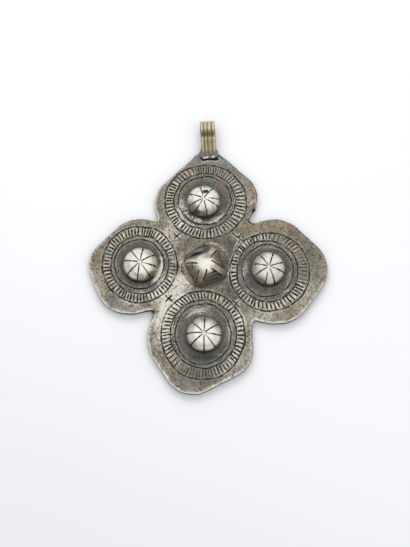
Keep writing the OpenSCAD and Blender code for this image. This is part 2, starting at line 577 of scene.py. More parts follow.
@dataclass(frozen=True)
class HatchRun:
    """A run of hatching lines that the hand made in one go.

    The lines go from the angle first to the angle last, in degrees. Their outer ends lean
    ahead by lean_first to lean_last degrees, and strength says how deep and dark they are.
    """

    first: float
    last: float
    lines: int
    lean_first: float
    lean_last: float
    strength: float


def hatch_runs(*rows: tuple[float, ...]) -> tuple[HatchRun, ...]:
    """Runs from rows of first, last, lines, lean_first, lean_last and strength."""
    return tuple(HatchRun(*row) for row in rows)


@dataclass(frozen=True)
class Lobe:
    """One lobe of the plate with its medallion: three rings, hatching, a mound and a head.

    Each spoke is a direction in degrees, and where it starts and ends, as shares of the way
    from the top of the head to its foot. The mound starts a little inside the foot ring and
    reaches its full height under the head.
    """

    name: str
    outer: Ring
    hatch: Ring
    foot: Ring
    head: Ring
    spokes: tuple[tuple[float, float, float], ...]
    runs: tuple[HatchRun, ...]
    chips: tuple[tuple[Place, ...], ...] = ()
    line_dirt: float = 0.95
    mound_share: float = 0.95
    under_head: float = 0.15
    seam_gaps: tuple[float, ...] = (-0.25, 0.0, 0.14, 0.3, 0.5, 0.75, 1.05)
    seam_step: float = 0.3

    def hatching(self, layer: float) -> list[Stroke]:
        """The short lines between the hatch ring and the outer ring.

        Args:
            layer: picks one pattern of the hand's slips out of many.

        Returns:
            One stroke for each line.
        """
        strokes = []
        for run in self.runs:
            for share in np.arange(run.lines) / (run.lines - 1):
                angle = run.first + (run.last - run.first) * share
                angle += 0.9 * ripple_at((angle * 0.83, 7.0 + layer), 1.0, 3.0)
                lean = run.lean_first + (run.lean_last - run.lean_first) * share
                seed = (angle * 0.61, 3.0 + layer)
                short = 0.07 + 0.16 * abs(ripple_at(seed, 1.0, 1.0))
                over = 0.08 + 0.16 * abs(ripple_at(seed, 1.0, 2.0))
                start, end = self.hatch.at(angle - lean / 2), self.outer.at(angle + lean / 2)
                strokes.append(Stroke(
                    np.array([start + (end - start) * short, end - (end - start) * over]),
                    half_width=0.14 + 0.11 * run.strength,
                    depth=0.05 + 0.1 * run.strength,
                    dirt=min(1.0, run.strength),
                    burr=0.5 + 0.8 * max(0.0, run.strength - 0.6),
                ))
        return strokes

    def rings(self, layer: float) -> list[Stroke]:
        """The three rings.

        Args:
            layer: picks the wander of the first ring; the others follow.

        Returns:
            One stroke for each ring.
        """
        return [
            Stroke(
                ring.wandering(layer + k), half_width=width, depth=0.13, dirt=self.line_dirt,
                fades=False, burr=0.25, uneven=0.9,
            )
            for k, (ring, width) in enumerate(((self.outer, 0.22), (self.hatch, 0.2), (self.foot, 0.2)))
        ]

    def rise(self, points: np.ndarray, height: float) -> tuple[np.ndarray, np.ndarray]:
        """Height of the mound at each place.

        Args:
            points: places on the plate.
            height: the mound's full height.

        Returns:
            The height added, and the share of the way from the foot ring to the head.
        """
        away = points - self.head.centre
        gap = np.maximum(np.linalg.norm(away, axis=1), 1e-6)
        axes = np.array([self.foot.wide, self.foot.high]) * self.mound_share
        start = (self.head.centre - self.foot.centre) / axes
        slope = away / gap[:, None] / axes
        a = np.sum(slope * slope, axis=1)
        b = 2 * np.sum(slope * start, axis=1)
        c = float(np.sum(start * start)) - 1
        reach = (-b + np.sqrt(b * b - 4 * a * c)) / (2 * a)
        share = np.clip((reach - gap) / (reach - (self.head.mean - self.under_head)), 0, 1)
        round_flank = 1 - np.sqrt(np.maximum(0, 1 - share * share))
        return height * (0.6 * round_flank + 0.4 * share ** 2.2), share

    def disc(self, points: np.ndarray) -> np.ndarray:
        """How far each place is inside the hatch ring, from 0 outside it to 1."""
        away = (points - self.hatch.centre) / np.array([self.hatch.wide, self.hatch.high])
        return 1 - ease(np.hypot(*away.T), 0.95, 1.04)

    def crown_seams(self) -> list[np.ndarray]:
        """Circles of points on the steep part of the mound, so that it stays round.

        Returns:
            One circle for each seam gap.
        """
        reaches = [self.head.mean - self.under_head + gap for gap in self.seam_gaps]
        return [circle(*self.head.centre, r, int(FULL_TURN * r / self.seam_step)) for r in reaches]


class Shade(Enum):
    """What a patch does to the metal; a light patch can also paint a highlight, and a black one a shadow."""

    DARK = Mark.TARNISH
    LIGHT = Mark.WORN
    RUSTY = Mark.COPPER
    FILM = Mark.FILM
    BLACK = Mark.CUT


@dataclass(frozen=True)
class Patch:
    """A stained or worn area, a painted highlight or a painted shadow, as a soft ellipse; turn is the
    direction of its long side.
    """

    x: float
    y: float
    long: float
    short: float
    turn: float
    strength: float

    def share(self, points: np.ndarray) -> np.ndarray:
        """How strongly the patch shows at each place.

        Args:
            points: the places.

        Returns:
            From 0 to the patch's strength.
        """
        along, across = bearing(self.turn), bearing(self.turn + 90)
        away = points - np.array([self.x, self.y])
        far = np.sqrt((away @ along / self.long) ** 2 + (away @ across / self.short) ** 2)
        return self.strength * (1 - ease(far, 0.35, 1.25))


Patches = dict[Shade, tuple[Patch, ...]]


def patches(*rows: tuple[float, ...]) -> tuple[Patch, ...]:
    """Patches from rows of x, y, long, short, turn and strength."""
    return tuple(Patch(*row) for row in rows)


def stains(table: Patches, shade: Shade, points: np.ndarray) -> np.ndarray:
    """All the patches of one shade together, at each place."""
    return sum((patch.share(points) for patch in table.get(shade, ())), np.zeros(len(points)))


OUTLINE = (
    EdgeArc(24.3, -0.4, 9.05),
    EdgeArc(18.6, 3.9, 9.8),
    EdgeArc(13.2, 13.8, -1.3),
    EdgeArc(12.95, 16.95, 0.9),
    EdgeArc(6.85, 19.9, 7.35),
    EdgeArc(0.6, 27.3, 5.9),
    EdgeArc(-6.3, 18.0, 8.0),
    EdgeArc(-14.5, 14.1, -1.0),
    EdgeArc(-18.3, 4.5, 9.3),
    EdgeArc(-25.4, 0.8, 7.0),
    EdgeArc(-21.3, -3.9, 9.05),
    EdgeArc(-15.5, -13.0, -1.0),
    EdgeArc(-6.2, -19.7, 9.9),
    EdgeArc(-3.6, -26.7, 8.2),
    EdgeArc(4.95, -22.85, 7.7),
    EdgeArc(13.65, -15.8, -1.1),
    EdgeArc(18.9, -5.0, 10.7),
)

LOBE_TOP = Lobe(
    "top",
    outer=Ring(-0.16, 18.65, 11.34, 10.46),
    hatch=Ring(-0.44, 18.83, 8.56, 7.92),
    foot=Ring(-0.42, 18.96, 7.3, 6.85),
    head=Ring(-0.7, 18.3, 4.55, 4.4),
    spokes=(
        (104, 0.25, 0.95), (156, 0.06, 0.97), (-158, 0.02, 1.0), (-123, 0.05, 1.0),
        (-77, 0.14, 0.97), (-25, 0.05, 1.0), (3, 0.42, 0.86), (53, 0.0, 1.0),
    ),
    runs=hatch_runs(
        (2.5, 29.5, 5, 0.5, 1.8, 1.0), (36, 56.5, 5, 1.0, 2.5, 0.6), (61, 84.5, 7, 3.0, 4.0, 0.5),
        (88.5, 109, 6, 2.5, 2.0, 0.6), (117, 142, 5, 1.0, 0.5, 0.8), (149, 179, 7, 0.5, 0.0, 1.0),
        (184.5, 209, 5, 0.0, -1.0, 1.0), (214, 223.5, 3, 0.0, 0.0, 1.0), (231, 262.5, 7, -2.5, -4.0, 1.1),
        (267.5, 290, 5, -3.5, -1.0, 0.9), (296, 325.5, 6, 0.0, 0.0, 0.75), (333, 357, 5, 0.0, 0.0, 1.0),
    ),
    chips=(((-0.4, 1.75), (0.2, 2.1), (1.3, 2.5)),),
    line_dirt=0.75,
)
LOBE_RIGHT = Lobe(
    "right",
    outer=Ring(17.41, -1.12, 10.97, 10.94),
    hatch=Ring(16.78, -0.88, 8.41, 8.53),
    foot=Ring(16.82, -0.79, 7.02, 7.3),
    head=Ring(17.0, -0.7, 4.55, 4.62),
    spokes=(
        (124, 0.08, 0.95), (72, 0.1, 0.93), (20, 0.1, 0.92), (-16, 0.1, 0.96),
        (-67, 0.1, 1.0), (-103, 0.55, 0.97), (-152, 0.06, 0.95), (165, 0.1, 0.96),
    ),
    runs=hatch_runs(
        (0.5, 17.5, 4, -1.0, -1.0, 0.5), (22, 34.5, 3, -1.0, 0.0, 0.3), (40.5, 64, 5, 1.0, 1.0, 0.6),
        (72.5, 87.5, 3, 1.5, 3.0, 0.7), (93, 108.5, 4, 4.0, 3.0, 1.0), (114.5, 129.5, 4, 2.0, 1.5, 0.9),
        (135.5, 150, 4, 0.0, 0.5, 1.1), (157, 174.5, 4, 1.0, -1.0, 1.1), (182, 194, 3, -1.0, -1.0, 1.2),
        (200.5, 242, 8, -2.5, -3.0, 1.0), (246.5, 267, 4, 0.0, -1.5, 0.9), (273.5, 311.5, 7, 0.0, -1.0, 1.0),
        (318.5, 340.5, 5, 0.0, 0.0, 1.0), (347, 353, 2, 0.0, 0.0, 0.3),
    ),
    line_dirt=0.85,
)
LOBE_BOTTOM = Lobe(
    "bottom",
    outer=Ring(-0.9, -18.71, 11.45, 12.16),
    hatch=Ring(-0.72, -18.34, 8.97, 9.38),
    foot=Ring(-0.85, -18.4, 7.6, 8.3),
    head=Ring(-0.6, -18.8, 4.75, 4.75),
    spokes=(
        (87, 0.1, 0.92), (35, 0.08, 0.95), (-6, 0.08, 0.95), (-50, 0.08, 0.97),
        (-90, 0.1, 0.97), (-140, 0.06, 0.96), (178, 0.08, 0.96), (135, 0.08, 0.95),
    ),
    runs=hatch_runs(
        (5.5, 36, 6, 1.5, 1.0, 1.0), (41.5, 57.5, 4, -1.0, -1.0, 1.0), (65.5, 88, 5, 0.0, 0.0, 1.0),
        (92.5, 117.5, 6, 0.5, 2.5, 1.0), (122.5, 132, 3, 2.5, 2.0, 1.0), (139.5, 177, 8, 1.0, 1.0, 1.0),
        (181, 207, 6, 0.5, 0.5, 1.1), (213.5, 226.5, 3, 0.0, 0.0, 0.8), (232, 283, 12, 0.0, 2.0, 0.4),
        (288, 320, 7, 3.0, 2.0, 0.8), (324.5, 359, 7, 1.0, 2.0, 1.0),
    ),
)
LOBE_LEFT = Lobe(
    "left",
    outer=Ring(-18.33, 0.88, 10.33, 10.65),
    hatch=Ring(-18.27, 0.84, 7.99, 8.11),
    foot=Ring(-18.4, 0.95, 6.8, 6.9),
    head=Ring(-18.0, 0.5, 4.76, 4.66),
    spokes=(
        (125, 0.1, 0.95), (79, 0.12, 0.92), (33, 0.12, 0.95), (-11, 0.1, 0.95),
        (-52, 0.1, 0.97), (-99, 0.08, 0.97), (-139, 0.08, 0.96), (170, 0.1, 0.95),
    ),
    runs=hatch_runs(
        (2, 16, 3, -2.0, -1.0, 0.6), (21.5, 58.5, 7, -0.5, -2.5, 1.0), (64.5, 86, 6, -1.0, -1.0, 1.0),
        (93, 115, 5, -2.0, -2.0, 0.9), (122, 149.5, 6, 0.0, 0.0, 1.0), (156, 190.5, 7, 0.5, 0.0, 0.9),
        (197, 229, 6, -0.5, -0.5, 0.9), (235.5, 260.5, 6, 0.0, 1.0, 1.0), (266.5, 283, 4, 1.5, 0.0, 1.0),
        (290, 315, 5, 1.0, 0.5, 1.0), (320, 331, 3, 0.0, -1.5, 1.0), (338.5, 357, 4, -1.0, 0.0, 0.6),
    ),
)
LOBES = (LOBE_TOP, LOBE_RIGHT, LOBE_BOTTOM, LOBE_LEFT)

# Stains, wear, painted highlights and painted shadows on the plate, and after them those on the heads and on
# the centre boss.
PATCHES: Patches = {
    # Light patches are worn metal; the broad first one, lower left of the centre, is a painted reflection.
    Shade.LIGHT: patches(
        (-9.5, -6.8, 6.5, 4.0, 45, 1.0), (-5.8, -3.6, 2.8, 0.9, -55, 0.5),
        (-6.8, 0.2, 3.8, 0.9, 84, 0.75), (-11.0, -12.0, 5.5, 2.2, 60, 0.9),
        (-11.5, -4.0, 4.0, 2.0, 70, 0.3), (-9.0, 13.0, 6.0, 2.4, 65, 0.45),
        (-9.5, 7.5, 4.5, 2.5, 20, 0.2), (-12.5, -17.0, 6.0, 2.2, 80, 0.5),
        (15.0, -13.2, 6.5, 2.2, 15, 0.35), (27.5, -8.0, 6.0, 2.2, 55, 0.3),
        (7.0, -26.5, 5.0, 2.2, 50, 0.3), (-13.0, 9.2, 4.0, 2.0, 20, 0.35),
        (-20.5, -10.0, 4.0, 1.0, -15, 0.5), (-12.2, 0.0, 3.0, 0.45, 88, 0.5),
        (-13.9, -3.3, 1.8, 0.5, 45, 0.7), (-12.0, -6.9, 4.6, 1.3, 42, 0.45),
        (-7.0, 12.9, 3.6, 1.2, -52, 0.8), (-3.0, 14.0, 1.4, 0.6, -15, 0.9),
        (-4.5, 12.6, 3.2, 0.6, -40, 0.6), (-11.0, -16.0, 5.0, 1.4, 85, 0.7),
        (-8.2, -9.8, 3.6, 1.2, 47, 0.8), (9.6, -14.0, 3.5, 1.1, 110, 0.55),
        (9.6, 6.0, 3.5, 1.1, 50, 0.35), (-2.0, -11.8, 3.4, 0.8, 12, 0.5),
        (13.0, 18.6, 1.5, 0.4, 40, 0.7), (3.2, 25.0, 1.2, 0.5, -20, 0.5),
        (-0.6, -12.6, 3.6, 0.9, 0, 0.12), (-2.2, 13.3, 1.2, 0.6, -20, 0.9),
        (2.6, 13.4, 2.6, 0.8, 25, 0.6), (-6.9, 17.6, 2.6, 0.8, 80, 0.5),
        (10.6, -0.6, 2.4, 0.8, 75, 0.5), (21.5, -6.6, 1.4, 0.4, 35, 0.6),
        (22.6, -3.0, 2.6, 0.6, 75, 0.3), (-9.2, -17.4, 2.6, 0.4, 85, 0.6),
        (-18.5, -7.3, 4.0, 0.5, 0, 0.5), (6.4, -17.5, 3.5, 1.0, 85, 0.3), (16.0, 6.0, 3.6, 0.9, 0, 0.2),
        (-29.5, -3.5, 5.0, 2.0, -70, 0.22), (-20.5, -12.5, 5.0, 1.8, -10, 0.3),
        (11.5, -24.5, 5.0, 2.0, 60, 0.2), (20.5, 11.5, 5.0, 2.0, -20, 0.1),
        (12.8, 20.5, 3.4, 1.5, 100, 0.2), (-5.5, 17.0, 3.0, 1.4, 60, 0.35),
        (-1.5, 11.5, 3.0, 0.9, 0, 0.25), (-13.2, -2.0, 2.6, 1.6, 85, 0.35),
        (-13.1, -1.2, 3.0, 0.9, 66, 0.6),
    ),
    Shade.DARK: patches(
        (13.0, 19.8, 3.8, 0.8, 97, 0.5), (6.0, 7.0, 3.0, 2.0, 0, 0.4), (7.6, 3.6, 5.0, 3.2, 80, 1.0),
        (3.5, 8.2, 5.0, 2.2, -30, 0.6), (1.5, 7.6, 4.5, 0.9, -8, 0.5), (-18.2, -4.4, 3.6, 1.2, 0, 0.6),
        (-3.4, -6.1, 1.6, 0.5, -20, 0.7), (7.0, -6.5, 4.0, 2.6, -60, 1.0),
        (9.0, -11.0, 3.5, 2.2, -60, 0.45), (6.6, 28.6, 4.5, 2.0, -38, 0.6),
        (-21.5, -8.4, 6.0, 2.0, -15, 0.5), (-1.0, -28.5, 8.0, 3.2, 5, 0.85),
        (27.0, 1.0, 7.5, 3.4, 80, 0.6), (22.0, 9.0, 5.0, 2.4, -35, 0.45),
        (12.0, -25.0, 2.4, 1.6, 60, 0.5), (16.5, 5.6, 4.5, 1.2, -5, 0.5),
        (22.5, -1.5, 5.0, 1.2, 85, 0.5), (-0.6, -23.6, 5.0, 2.2, 0, 0.8),
        (-0.5, -27.6, 6.0, 1.6, 0, 0.4), (0.0, 28.0, 6.0, 1.3, 0, 0.4), (-6.0, 6.6, 3.0, 1.8, 30, 0.5),
        (-1.0, -30.6, 6.5, 2.2, 0, 0.65), (-1.8, 31.0, 1.2, 0.5, 80, 0.9),
    ),
    Shade.RUSTY: patches(
        (13.6, 20.5, 2.6, 0.7, 100, 0.8), (13.6, 17.2, 1.2, 0.8, 60, 0.9),
        (19.5, 11.0, 5.5, 1.6, -8, 0.65), (12.6, 11.2, 2.4, 1.2, 15, 0.6),
        (-29.8, 1.1, 1.0, 0.6, 80, 0.5), (-30.0, 3.0, 2.6, 1.2, 70, 0.25),
        (4.3, 23.9, 1.9, 1.1, -55, 1.0), (-6.0, 27.5, 3.5, 1.3, 35, 0.3),
        (24.5, -11.0, 5.0, 2.0, 25, 0.3), (4.6, 6.4, 2.8, 1.5, 40, 0.3),
        (-18.8, -4.7, 2.4, 0.7, 0, 0.35), (-6.2, -15.5, 3.6, 1.6, 70, 0.4),
        (-0.6, -12.7, 4.0, 1.0, 0, 0.3), (12.8, 21.5, 4.5, 1.6, 100, 0.45),
        (-26.0, -10.8, 1.0, 0.5, -30, 0.8),
    ),
    Shade.FILM: patches(
        (-1.8, 5.2, 3.4, 1.2, 28, 1.1), (-5.6, -31.3, 3.0, 1.3, 0, 0.6),
        (-22.5, -12.0, 4.5, 2.0, -20, 0.4), (0.9, 31.5, 6.0, 2.6, 0, 1.3),
        (6.0, 29.4, 4.5, 2.0, -38, 0.9), (-4.3, 30.8, 2.6, 1.6, 30, 0.8),
    ),
    # Black: a dark nick on the right lobe's edge, and painted shadow in the notches, along the top lobe's
    # right edge, under the bottom head and in the slot beside the centre boss.
    Shade.BLACK: patches(
        (12.9, 16.3, 1.0, 0.25, 50, 0.8), (14.3, 19.5, 4.0, 0.3, 95, 0.5),
        (-3.0, 4.0, 1.4, 0.3, 22, 0.6), (-0.8, -24.8, 5.0, 1.5, 0, 0.3),
        (30.6, 6.0, 2.1, 0.35, -45, 0.9), (12.5, 14.9, 2.2, 0.3, 62, 0.9),
        (12.6, 12.6, 1.5, 0.3, -30, 0.9), (-15.6, -12.2, 1.6, 0.45, 5, 1.2),
        (-14.6, -13.0, 1.4, 0.4, 80, 1.2),
    ),
}
HEAD_PATCHES: Patches = {
    Shade.DARK: patches(
        (-3.5, 15.9, 2.6, 1.2, 127, 0.8), (-15.2, -2.8, 2.2, 0.7, 43, 1.1),
        (-1.4, 14.6, 2.4, 0.6, 170, 0.8), (17.2, -1.4, 4.6, 4.2, 0, 0.17),
        (-3.4, -21.8, 2.0, 0.6, 140, 0.6), (2.4, -4.4, 3.6, 1.3, 20, 0.9),
        (-2.1, -5.2, 0.8, 0.7, 66, 1.3), (5.3, -2.3, 0.9, 0.8, -20, 0.5),
        (14.7, -4.5, 2.6, 0.9, -31, 0.9), (-2.0, -4.3, 2.2, 1.0, 66, 0.45),
        (5.6, -2.4, 1.6, 0.9, -20, 0.4),
    ),
    Shade.RUSTY: patches(
        (-15.3, -2.7, 2.2, 0.6, 43, 0.8), (0.4, 2.2, 1.7, 0.8, 25, 0.9),
        (4.6, -1.7, 1.4, 0.9, -27, 0.6), (14.8, -4.4, 2.6, 1.2, -31, 0.9),
        (20.2, -4.2, 1.6, 0.9, 42, 1.0), (17.6, -5.4, 2.6, 0.6, 0, 0.8),
        (-1.8, -3.6, 3.0, 0.9, 66, 0.5), (0.4, -2.9, 1.4, 0.9, 30, 0.6), (2.7, 1.9, 1.8, 1.2, 112, 0.9),
        (-3.2, -1.3, 2.4, 0.9, 120, 0.7), (5.0, -2.0, 2.4, 0.9, -20, 0.6),
    ),
    Shade.FILM: patches(
        (-2.6, 3.9, 4.0, 1.1, 26, 1.2), (4.6, 1.3, 3.2, 1.1, 112, 1.0),
        (-4.4, -2.5, 3.4, 0.9, 118, 0.9), (1.9, 4.4, 1.4, 1.1, 66, 0.45),
        (-4.7, 1.4, 1.4, 1.0, 167, 0.5),
    ),
    # The black patch paints the shadow in the slot beside the centre boss.
    Shade.BLACK: patches(
        (-2.8, 3.45, 1.7, 0.7, 20, 1.6),
    ),
}


@dataclass
class Collar:
    """The raised rim round the centre boss, higher and wider on the side of the bail.

    Each row of the crest is a direction in degrees, its distance out and its height.
    """

    crest: tuple[tuple[float, float, float], ...] = (
        (0, 6.5, 0.12), (30, 6.9, 0.2), (57, 7.0, 0.35), (66, 7.05, 0.5), (80, 6.95, 0.5),
        (94, 6.5, 0.6), (105, 6.35, 0.6), (130, 6.2, 0.5), (138, 6.6, 0.55), (157, 6.7, 0.6),
        (174, 7.15, 0.65), (185, 7.1, 0.55), (205, 6.7, 0.35), (235, 6.45, 0.2),
        (270, 6.1, 0.1), (315, 6.3, 0.12), (345, 6.45, 0.2),
    )
    outer_fall: float = 0.8
    inner_fall: float = 0.6
    # How bright the crest is in each direction: wear and a painted highlight.
    shine: tuple[tuple[float, float], ...] = (
        (0, 0.1), (40, 0.2), (60, 0.6), (75, 1.0), (110, 1.0), (125, 0.5), (140, 0.8), (160, 1.0),
        (195, 1.0), (215, 0.6), (240, 0.1), (360, 0.1),
    )

    def rise(self, points: np.ndarray) -> tuple[np.ndarray, np.ndarray]:
        """Height of the collar at each place, and how near its crest the place is.

        Args:
            points: places on the plate.

        Returns:
            The height added, and how near its bright crest each place is.
        """
        turn = turns_of(points) % 360
        rows = np.array([*self.crest, (360, *self.crest[0][1:])])
        reach = np.interp(turn, rows[:, 0], rows[:, 1])
        height = np.interp(turn, rows[:, 0], rows[:, 2])
        gap = np.linalg.norm(points, axis=1) - reach
        fall = np.where(gap > 0, self.outer_fall, self.inner_fall)
        rough = 1 + 1.4 * ripple(points, 0.8, 61.0) + 0.8 * ripple(points, 2.2, 62.0)
        near = 1 - ease(np.abs(gap) / fall, 0.0, 1.0)
        crest = 1 - ease(np.abs(gap), 0.08, 0.36 * np.clip(rough, 0.5, 1.6))
        shine = np.interp(turn, *np.array(self.shine).T)
        return height * near * np.clip(rough, 0.6, 1.3), crest * shine * np.clip(rough, 0, 1.2)


@dataclass
class Plate:
    """The sawn silver plate: outline, rounded rim, mounds, collar and all its engraving.

    Each cross line is a strength and a path. A ridge is a half width, a height, a shine and
    a path, and a slip of the tool a half width, a dirt and a path. The surround is how dark
    the metal is round the centre boss, by direction in degrees.
    """

    thickness: float = 1.6
    mound_height: float = 1.7
    rim_round: float = 0.5
    back_round: float = 0.15
    grid_pitch: float = 0.42
    stem_hole: float = 1.55
    back_hole: float = 2.3
    back_hole_deep: float = 0.6
    back_pitch: float = 1.3
    rim_wander: float = 0.16
    rim_steps: int = 5
    arc_step: float = 0.45
    straight_step: float = 0.5
    burr_height: float = 0.02
    # How dark the side is: tarnish of the sawn edge and painted shadow.
    side_grime_and_shade: float = 1.0
    collar: Collar = field(default_factory=Collar)
    crosses: tuple[tuple[float, tuple[Place, ...]], ...] = (
        (1.0, ((-8.75, 8.3), (-7.35, 9.5))),
        (1.0, ((-8.75, 9.6), (-7.5, 8.2))),
        (1.0, ((-10.9, -9.2), (-9.5, -7.85))),
        (1.0, ((-11.0, -7.95), (-9.4, -9.2))),
        (0.85, ((7.54, 9.46), (8.7, 8.6), (9.87, 7.62))),
        (0.8, ((8.85, 8.4), (9.5, 9.35))),
        (0.8, ((7.5, -9.3), (8.9, -10.8))),
        (0.75, ((7.6, -10.6), (8.8, -9.4))),
    )
    # The shine of a ridge brightens its crest: wear and a painted highlight.
    ridges: tuple[tuple[float, float, float, tuple[Place, ...]], ...] = (
        (0.22, 0.08, 0.75, ((-5.3, -13.9), (-4.2, -12.9), (-2.8, -12.3), (-1.2, -12.1), (0.2, -12.4))),
        (0.16, 0.05, 0.45, ((-4.5, -13.6), (-3.1, -12.9), (-1.4, -12.8), (0.6, -13.1), (2.0, -13.9))),
        (0.34, 0.14, 1.3, ((5.5, -2.1), (6.1, -1.5), (6.6, -0.7), (7.0, 0.2), (7.1, 1.2))),
        (0.1, 0.04, 0.8, ((8.6, 7.4), (7.9, 6.0), (7.3, 4.2), (6.9, 2.6), (6.7, 1.2))),
        (0.12, 0.03, 0.7, ((3.3, 31.4), (5.2, 29.9), (7.4, 28.2))),
        (0.12, 0.03, 0.6, ((4.6, 31.5), (6.4, 30.2), (8.4, 28.7))),
        (0.12, 0.03, 0.6, ((2.2, 30.6), (4.0, 29.7), (5.2, 28.9))),
        (0.1, 0.04, 0.8, ((3.6, 32.4), (4.4, 31.9), (5.6, 30.8))),
        (0.1, 0.04, 0.6, ((3.0, 31.0), (3.6, 30.6), (4.4, 30.2))),
        (0.1, 0.04, 0.7, ((5.6, 30.2), (6.2, 29.7), (7.4, 29.0))),
        (0.1, 0.04, 0.5, ((1.4, 30.2), (2.0, 29.9), (3.0, 29.3))),
        (0.1, 0.04, 0.5, ((-4.8, 30.4), (-4.2, 30.8), (-3.2, 31.5))),
        (0.1, 0.04, 0.5, ((-4.0, 29.6), (-3.2, 30.2), (-2.2, 30.8))),
        (0.22, 0.06, 0.6, ((-5.9, 16.1), (-4.6, 14.1), (-2.6, 12.9))),
        (0.22, 0.05, 0.5, ((-2.5, 13.6), (-0.6, 12.9), (1.6, 12.9), (3.8, 14.2), (5.1, 15.6))),
        (0.36, 0.13, 1.25, (
            (-12.6, 3.2), (-12.2, 1.9), (-12.1, 0.9), (-12.2, -0.1), (-12.8, -1.5), (-13.8, -2.7),
        )),
        (0.13, 0.03, 0.15, ((-23.4, 3.4), (-24.0, 0.9), (-23.4, -1.9), (-21.6, -4.1))),
        (0.12, 0.03, 0.25, ((12.0, 3.4), (14.2, 5.2), (17.2, 5.8), (20.0, 5.0))),
        (0.12, 0.03, 0.15, ((-6.6, 21.0), (-4.6, 23.4), (-1.6, 24.6), (2.0, 24.3))),
        (0.12, 0.03, 0.1, ((-7.4, -21.6), (-5.2, -24.4), (-1.8, -25.6), (2.2, -25.2))),
    )
    slips: tuple[tuple[float, float, tuple[Place, ...]], ...] = (
        (0.19, 1.0, ((-4.6, 16.35), (-5.7, 16.0), (-7.0, 15.9))),
        (0.19, 1.0, ((-3.1, 14.6), (-3.8, 13.2))),
        (0.13, 0.7, ((3.3, 16.6), (4.9, 15.9))),
        (0.13, 0.7, ((2.0, 21.9), (2.9, 23.2))),
        (0.1, 0.35, ((-5.1, -12.7), (-3.2, -11.3), (-0.2, -11.0), (1.6, -11.9))),
        (0.1, 0.7, ((11.0, -18.6), (12.0, -20.5))),
        (0.1, 0.45, ((7.0, 10.1), (8.2, 11.6))),
        (0.09, 0.5, ((10.4, 14.2), (12.2, 16.0))),
        # The last slip paints the shadow under the solder's outer edge as a shallow dark groove.
        (0.34, 1.0, (
            (-1.5, 31.05), (-0.8, 30.7), (0.1, 30.85), (1.0, 30.75), (1.7, 31.0), (2.5, 30.8), (3.4, 31.0),
        )),
    )
    surround: tuple[tuple[float, float], ...] = (
        (0, 0.5), (40, 0.7), (100, 0.9), (145, 0.9), (168, 0.4), (185, 0.15), (235, 0.15),
        (265, 0.5), (300, 0.75), (335, 0.6), (360, 0.5),
    )

    def outline(self, inset: float) -> np.ndarray:
        """Closed outline, moved inwards by inset, with as many points for every inset.

        Args:
            inset: distance in from the plate's side.

        Returns:
            The points, counter-clockwise from the right tip.
        """
        points, outwards = [], []
        for before, here, after in zip(OUTLINE[-1:] + OUTLINE, OUTLINE, OUTLINE[1:] + OUTLINE[:1]):
            start, end = before.heading(here), here.heading(after)
            swing = (end - start) % FULL_TURN
            if here.radius < 0:
                swing -= FULL_TURN
            steps = max(6, math.ceil(abs(swing * here.radius) / self.arc_step))
            for share in np.linspace(0, 1, steps + 1):
                way = start + swing * share
                outwards.append(np.array([math.sin(way), -math.cos(way)]))
                points.append(here.at(outwards[-1], inset))
            out = np.array([math.sin(end), -math.cos(end)])
            last, first = points[-1], after.at(out, inset)
            pieces = max(1, int(here.straight(after) / self.straight_step))
            for share in np.arange(1, pieces) / pieces:
                points.append(last + (first - last) * share)
                outwards.append(out)
        loop, outwards = np.array(points), np.array(outwards)
        base = loop + inset * outwards
        wander = self.rim_wander * ripple(base, 2.6, 4.0) + 0.4 * self.rim_wander * ripple(base, 0.9, 5.0)
        return loop + outwards * wander[:, None]

    def strokes(self) -> list[Stroke]:
        """Everything that is engraved on the plate.

        Returns:
            The strokes of the four medallions, then the crosses, slips and short marks.
        """
        found = []
        for k, lobe in enumerate(LOBES):
            found += lobe.rings(10.0 * k) + lobe.hatching(10.0 * k)
        for strength, path in self.crosses:
            half = 0.1 + 0.14 * strength
            found.append(Stroke(np.array(path), half, 0.15 * strength, strength, fades=False))
        return found + self._slips() + self._chatter()

    def _slips(self) -> list[Stroke]:
        """Spokes that run on over the top mound, slips of the tool and scratches.

        Returns:
            The slips, and an arc that strays from each of two rings.
        """
        found = [
            Stroke(curve_through(path, PATH_STEP), half, 0.9 * half, dirt)
            for half, dirt, path in self.slips
        ]
        for lobe, start, end, inwards in ((LOBE_BOTTOM, 150, 235, 0.55), (LOBE_TOP, -40, 60, 0.6)):
            turns = np.arange(start, end, 3.0)
            found.append(Stroke(lobe.hatch.at(turns, -inwards), 0.13, 0.07, 0.6))
        return found

    @staticmethod
    def _chatter() -> list[Stroke]:
        """Short marks where the tool skipped between the hatch ring and the foot ring.

        Returns:
            The strokes.
        """
        runs = (
            (LOBE_BOTTOM, 150.0, 226.0, 13),
            (LOBE_LEFT, 62.0, 84.0, 5),
            (LOBE_RIGHT, 205.0, 240.0, 6),
            (LOBE_RIGHT, 134.0, 142.0, 3),
        )
        found = []
        for lobe, first, last, count in runs:
            for k in range(count):
                angle = first + (last - first) * k / count
                start, end = lobe.foot.at(angle), lobe.hatch.at(angle + 2.5)
                path = np.array([start + (end - start) * 0.45, start + (end - start) * 0.85])
                found.append(Stroke(path, 0.11, 0.08, 0.65))
        return found

    def surface(self, points: np.ndarray) -> np.ndarray:
        """Height of the plate's front before it is engraved.

        Args:
            points: places on the plate.

        Returns:
            The heights.
        """
        height = np.full(len(points), self.thickness)
        for lobe in LOBES:
            height += lobe.rise(points, self.mound_height)[0]
        height += self.collar.rise(points)[0]
        height += 0.05 * ripple(points, 3.4, 1.0) + 0.022 * ripple(points, 1.1, 2.0)
        return height

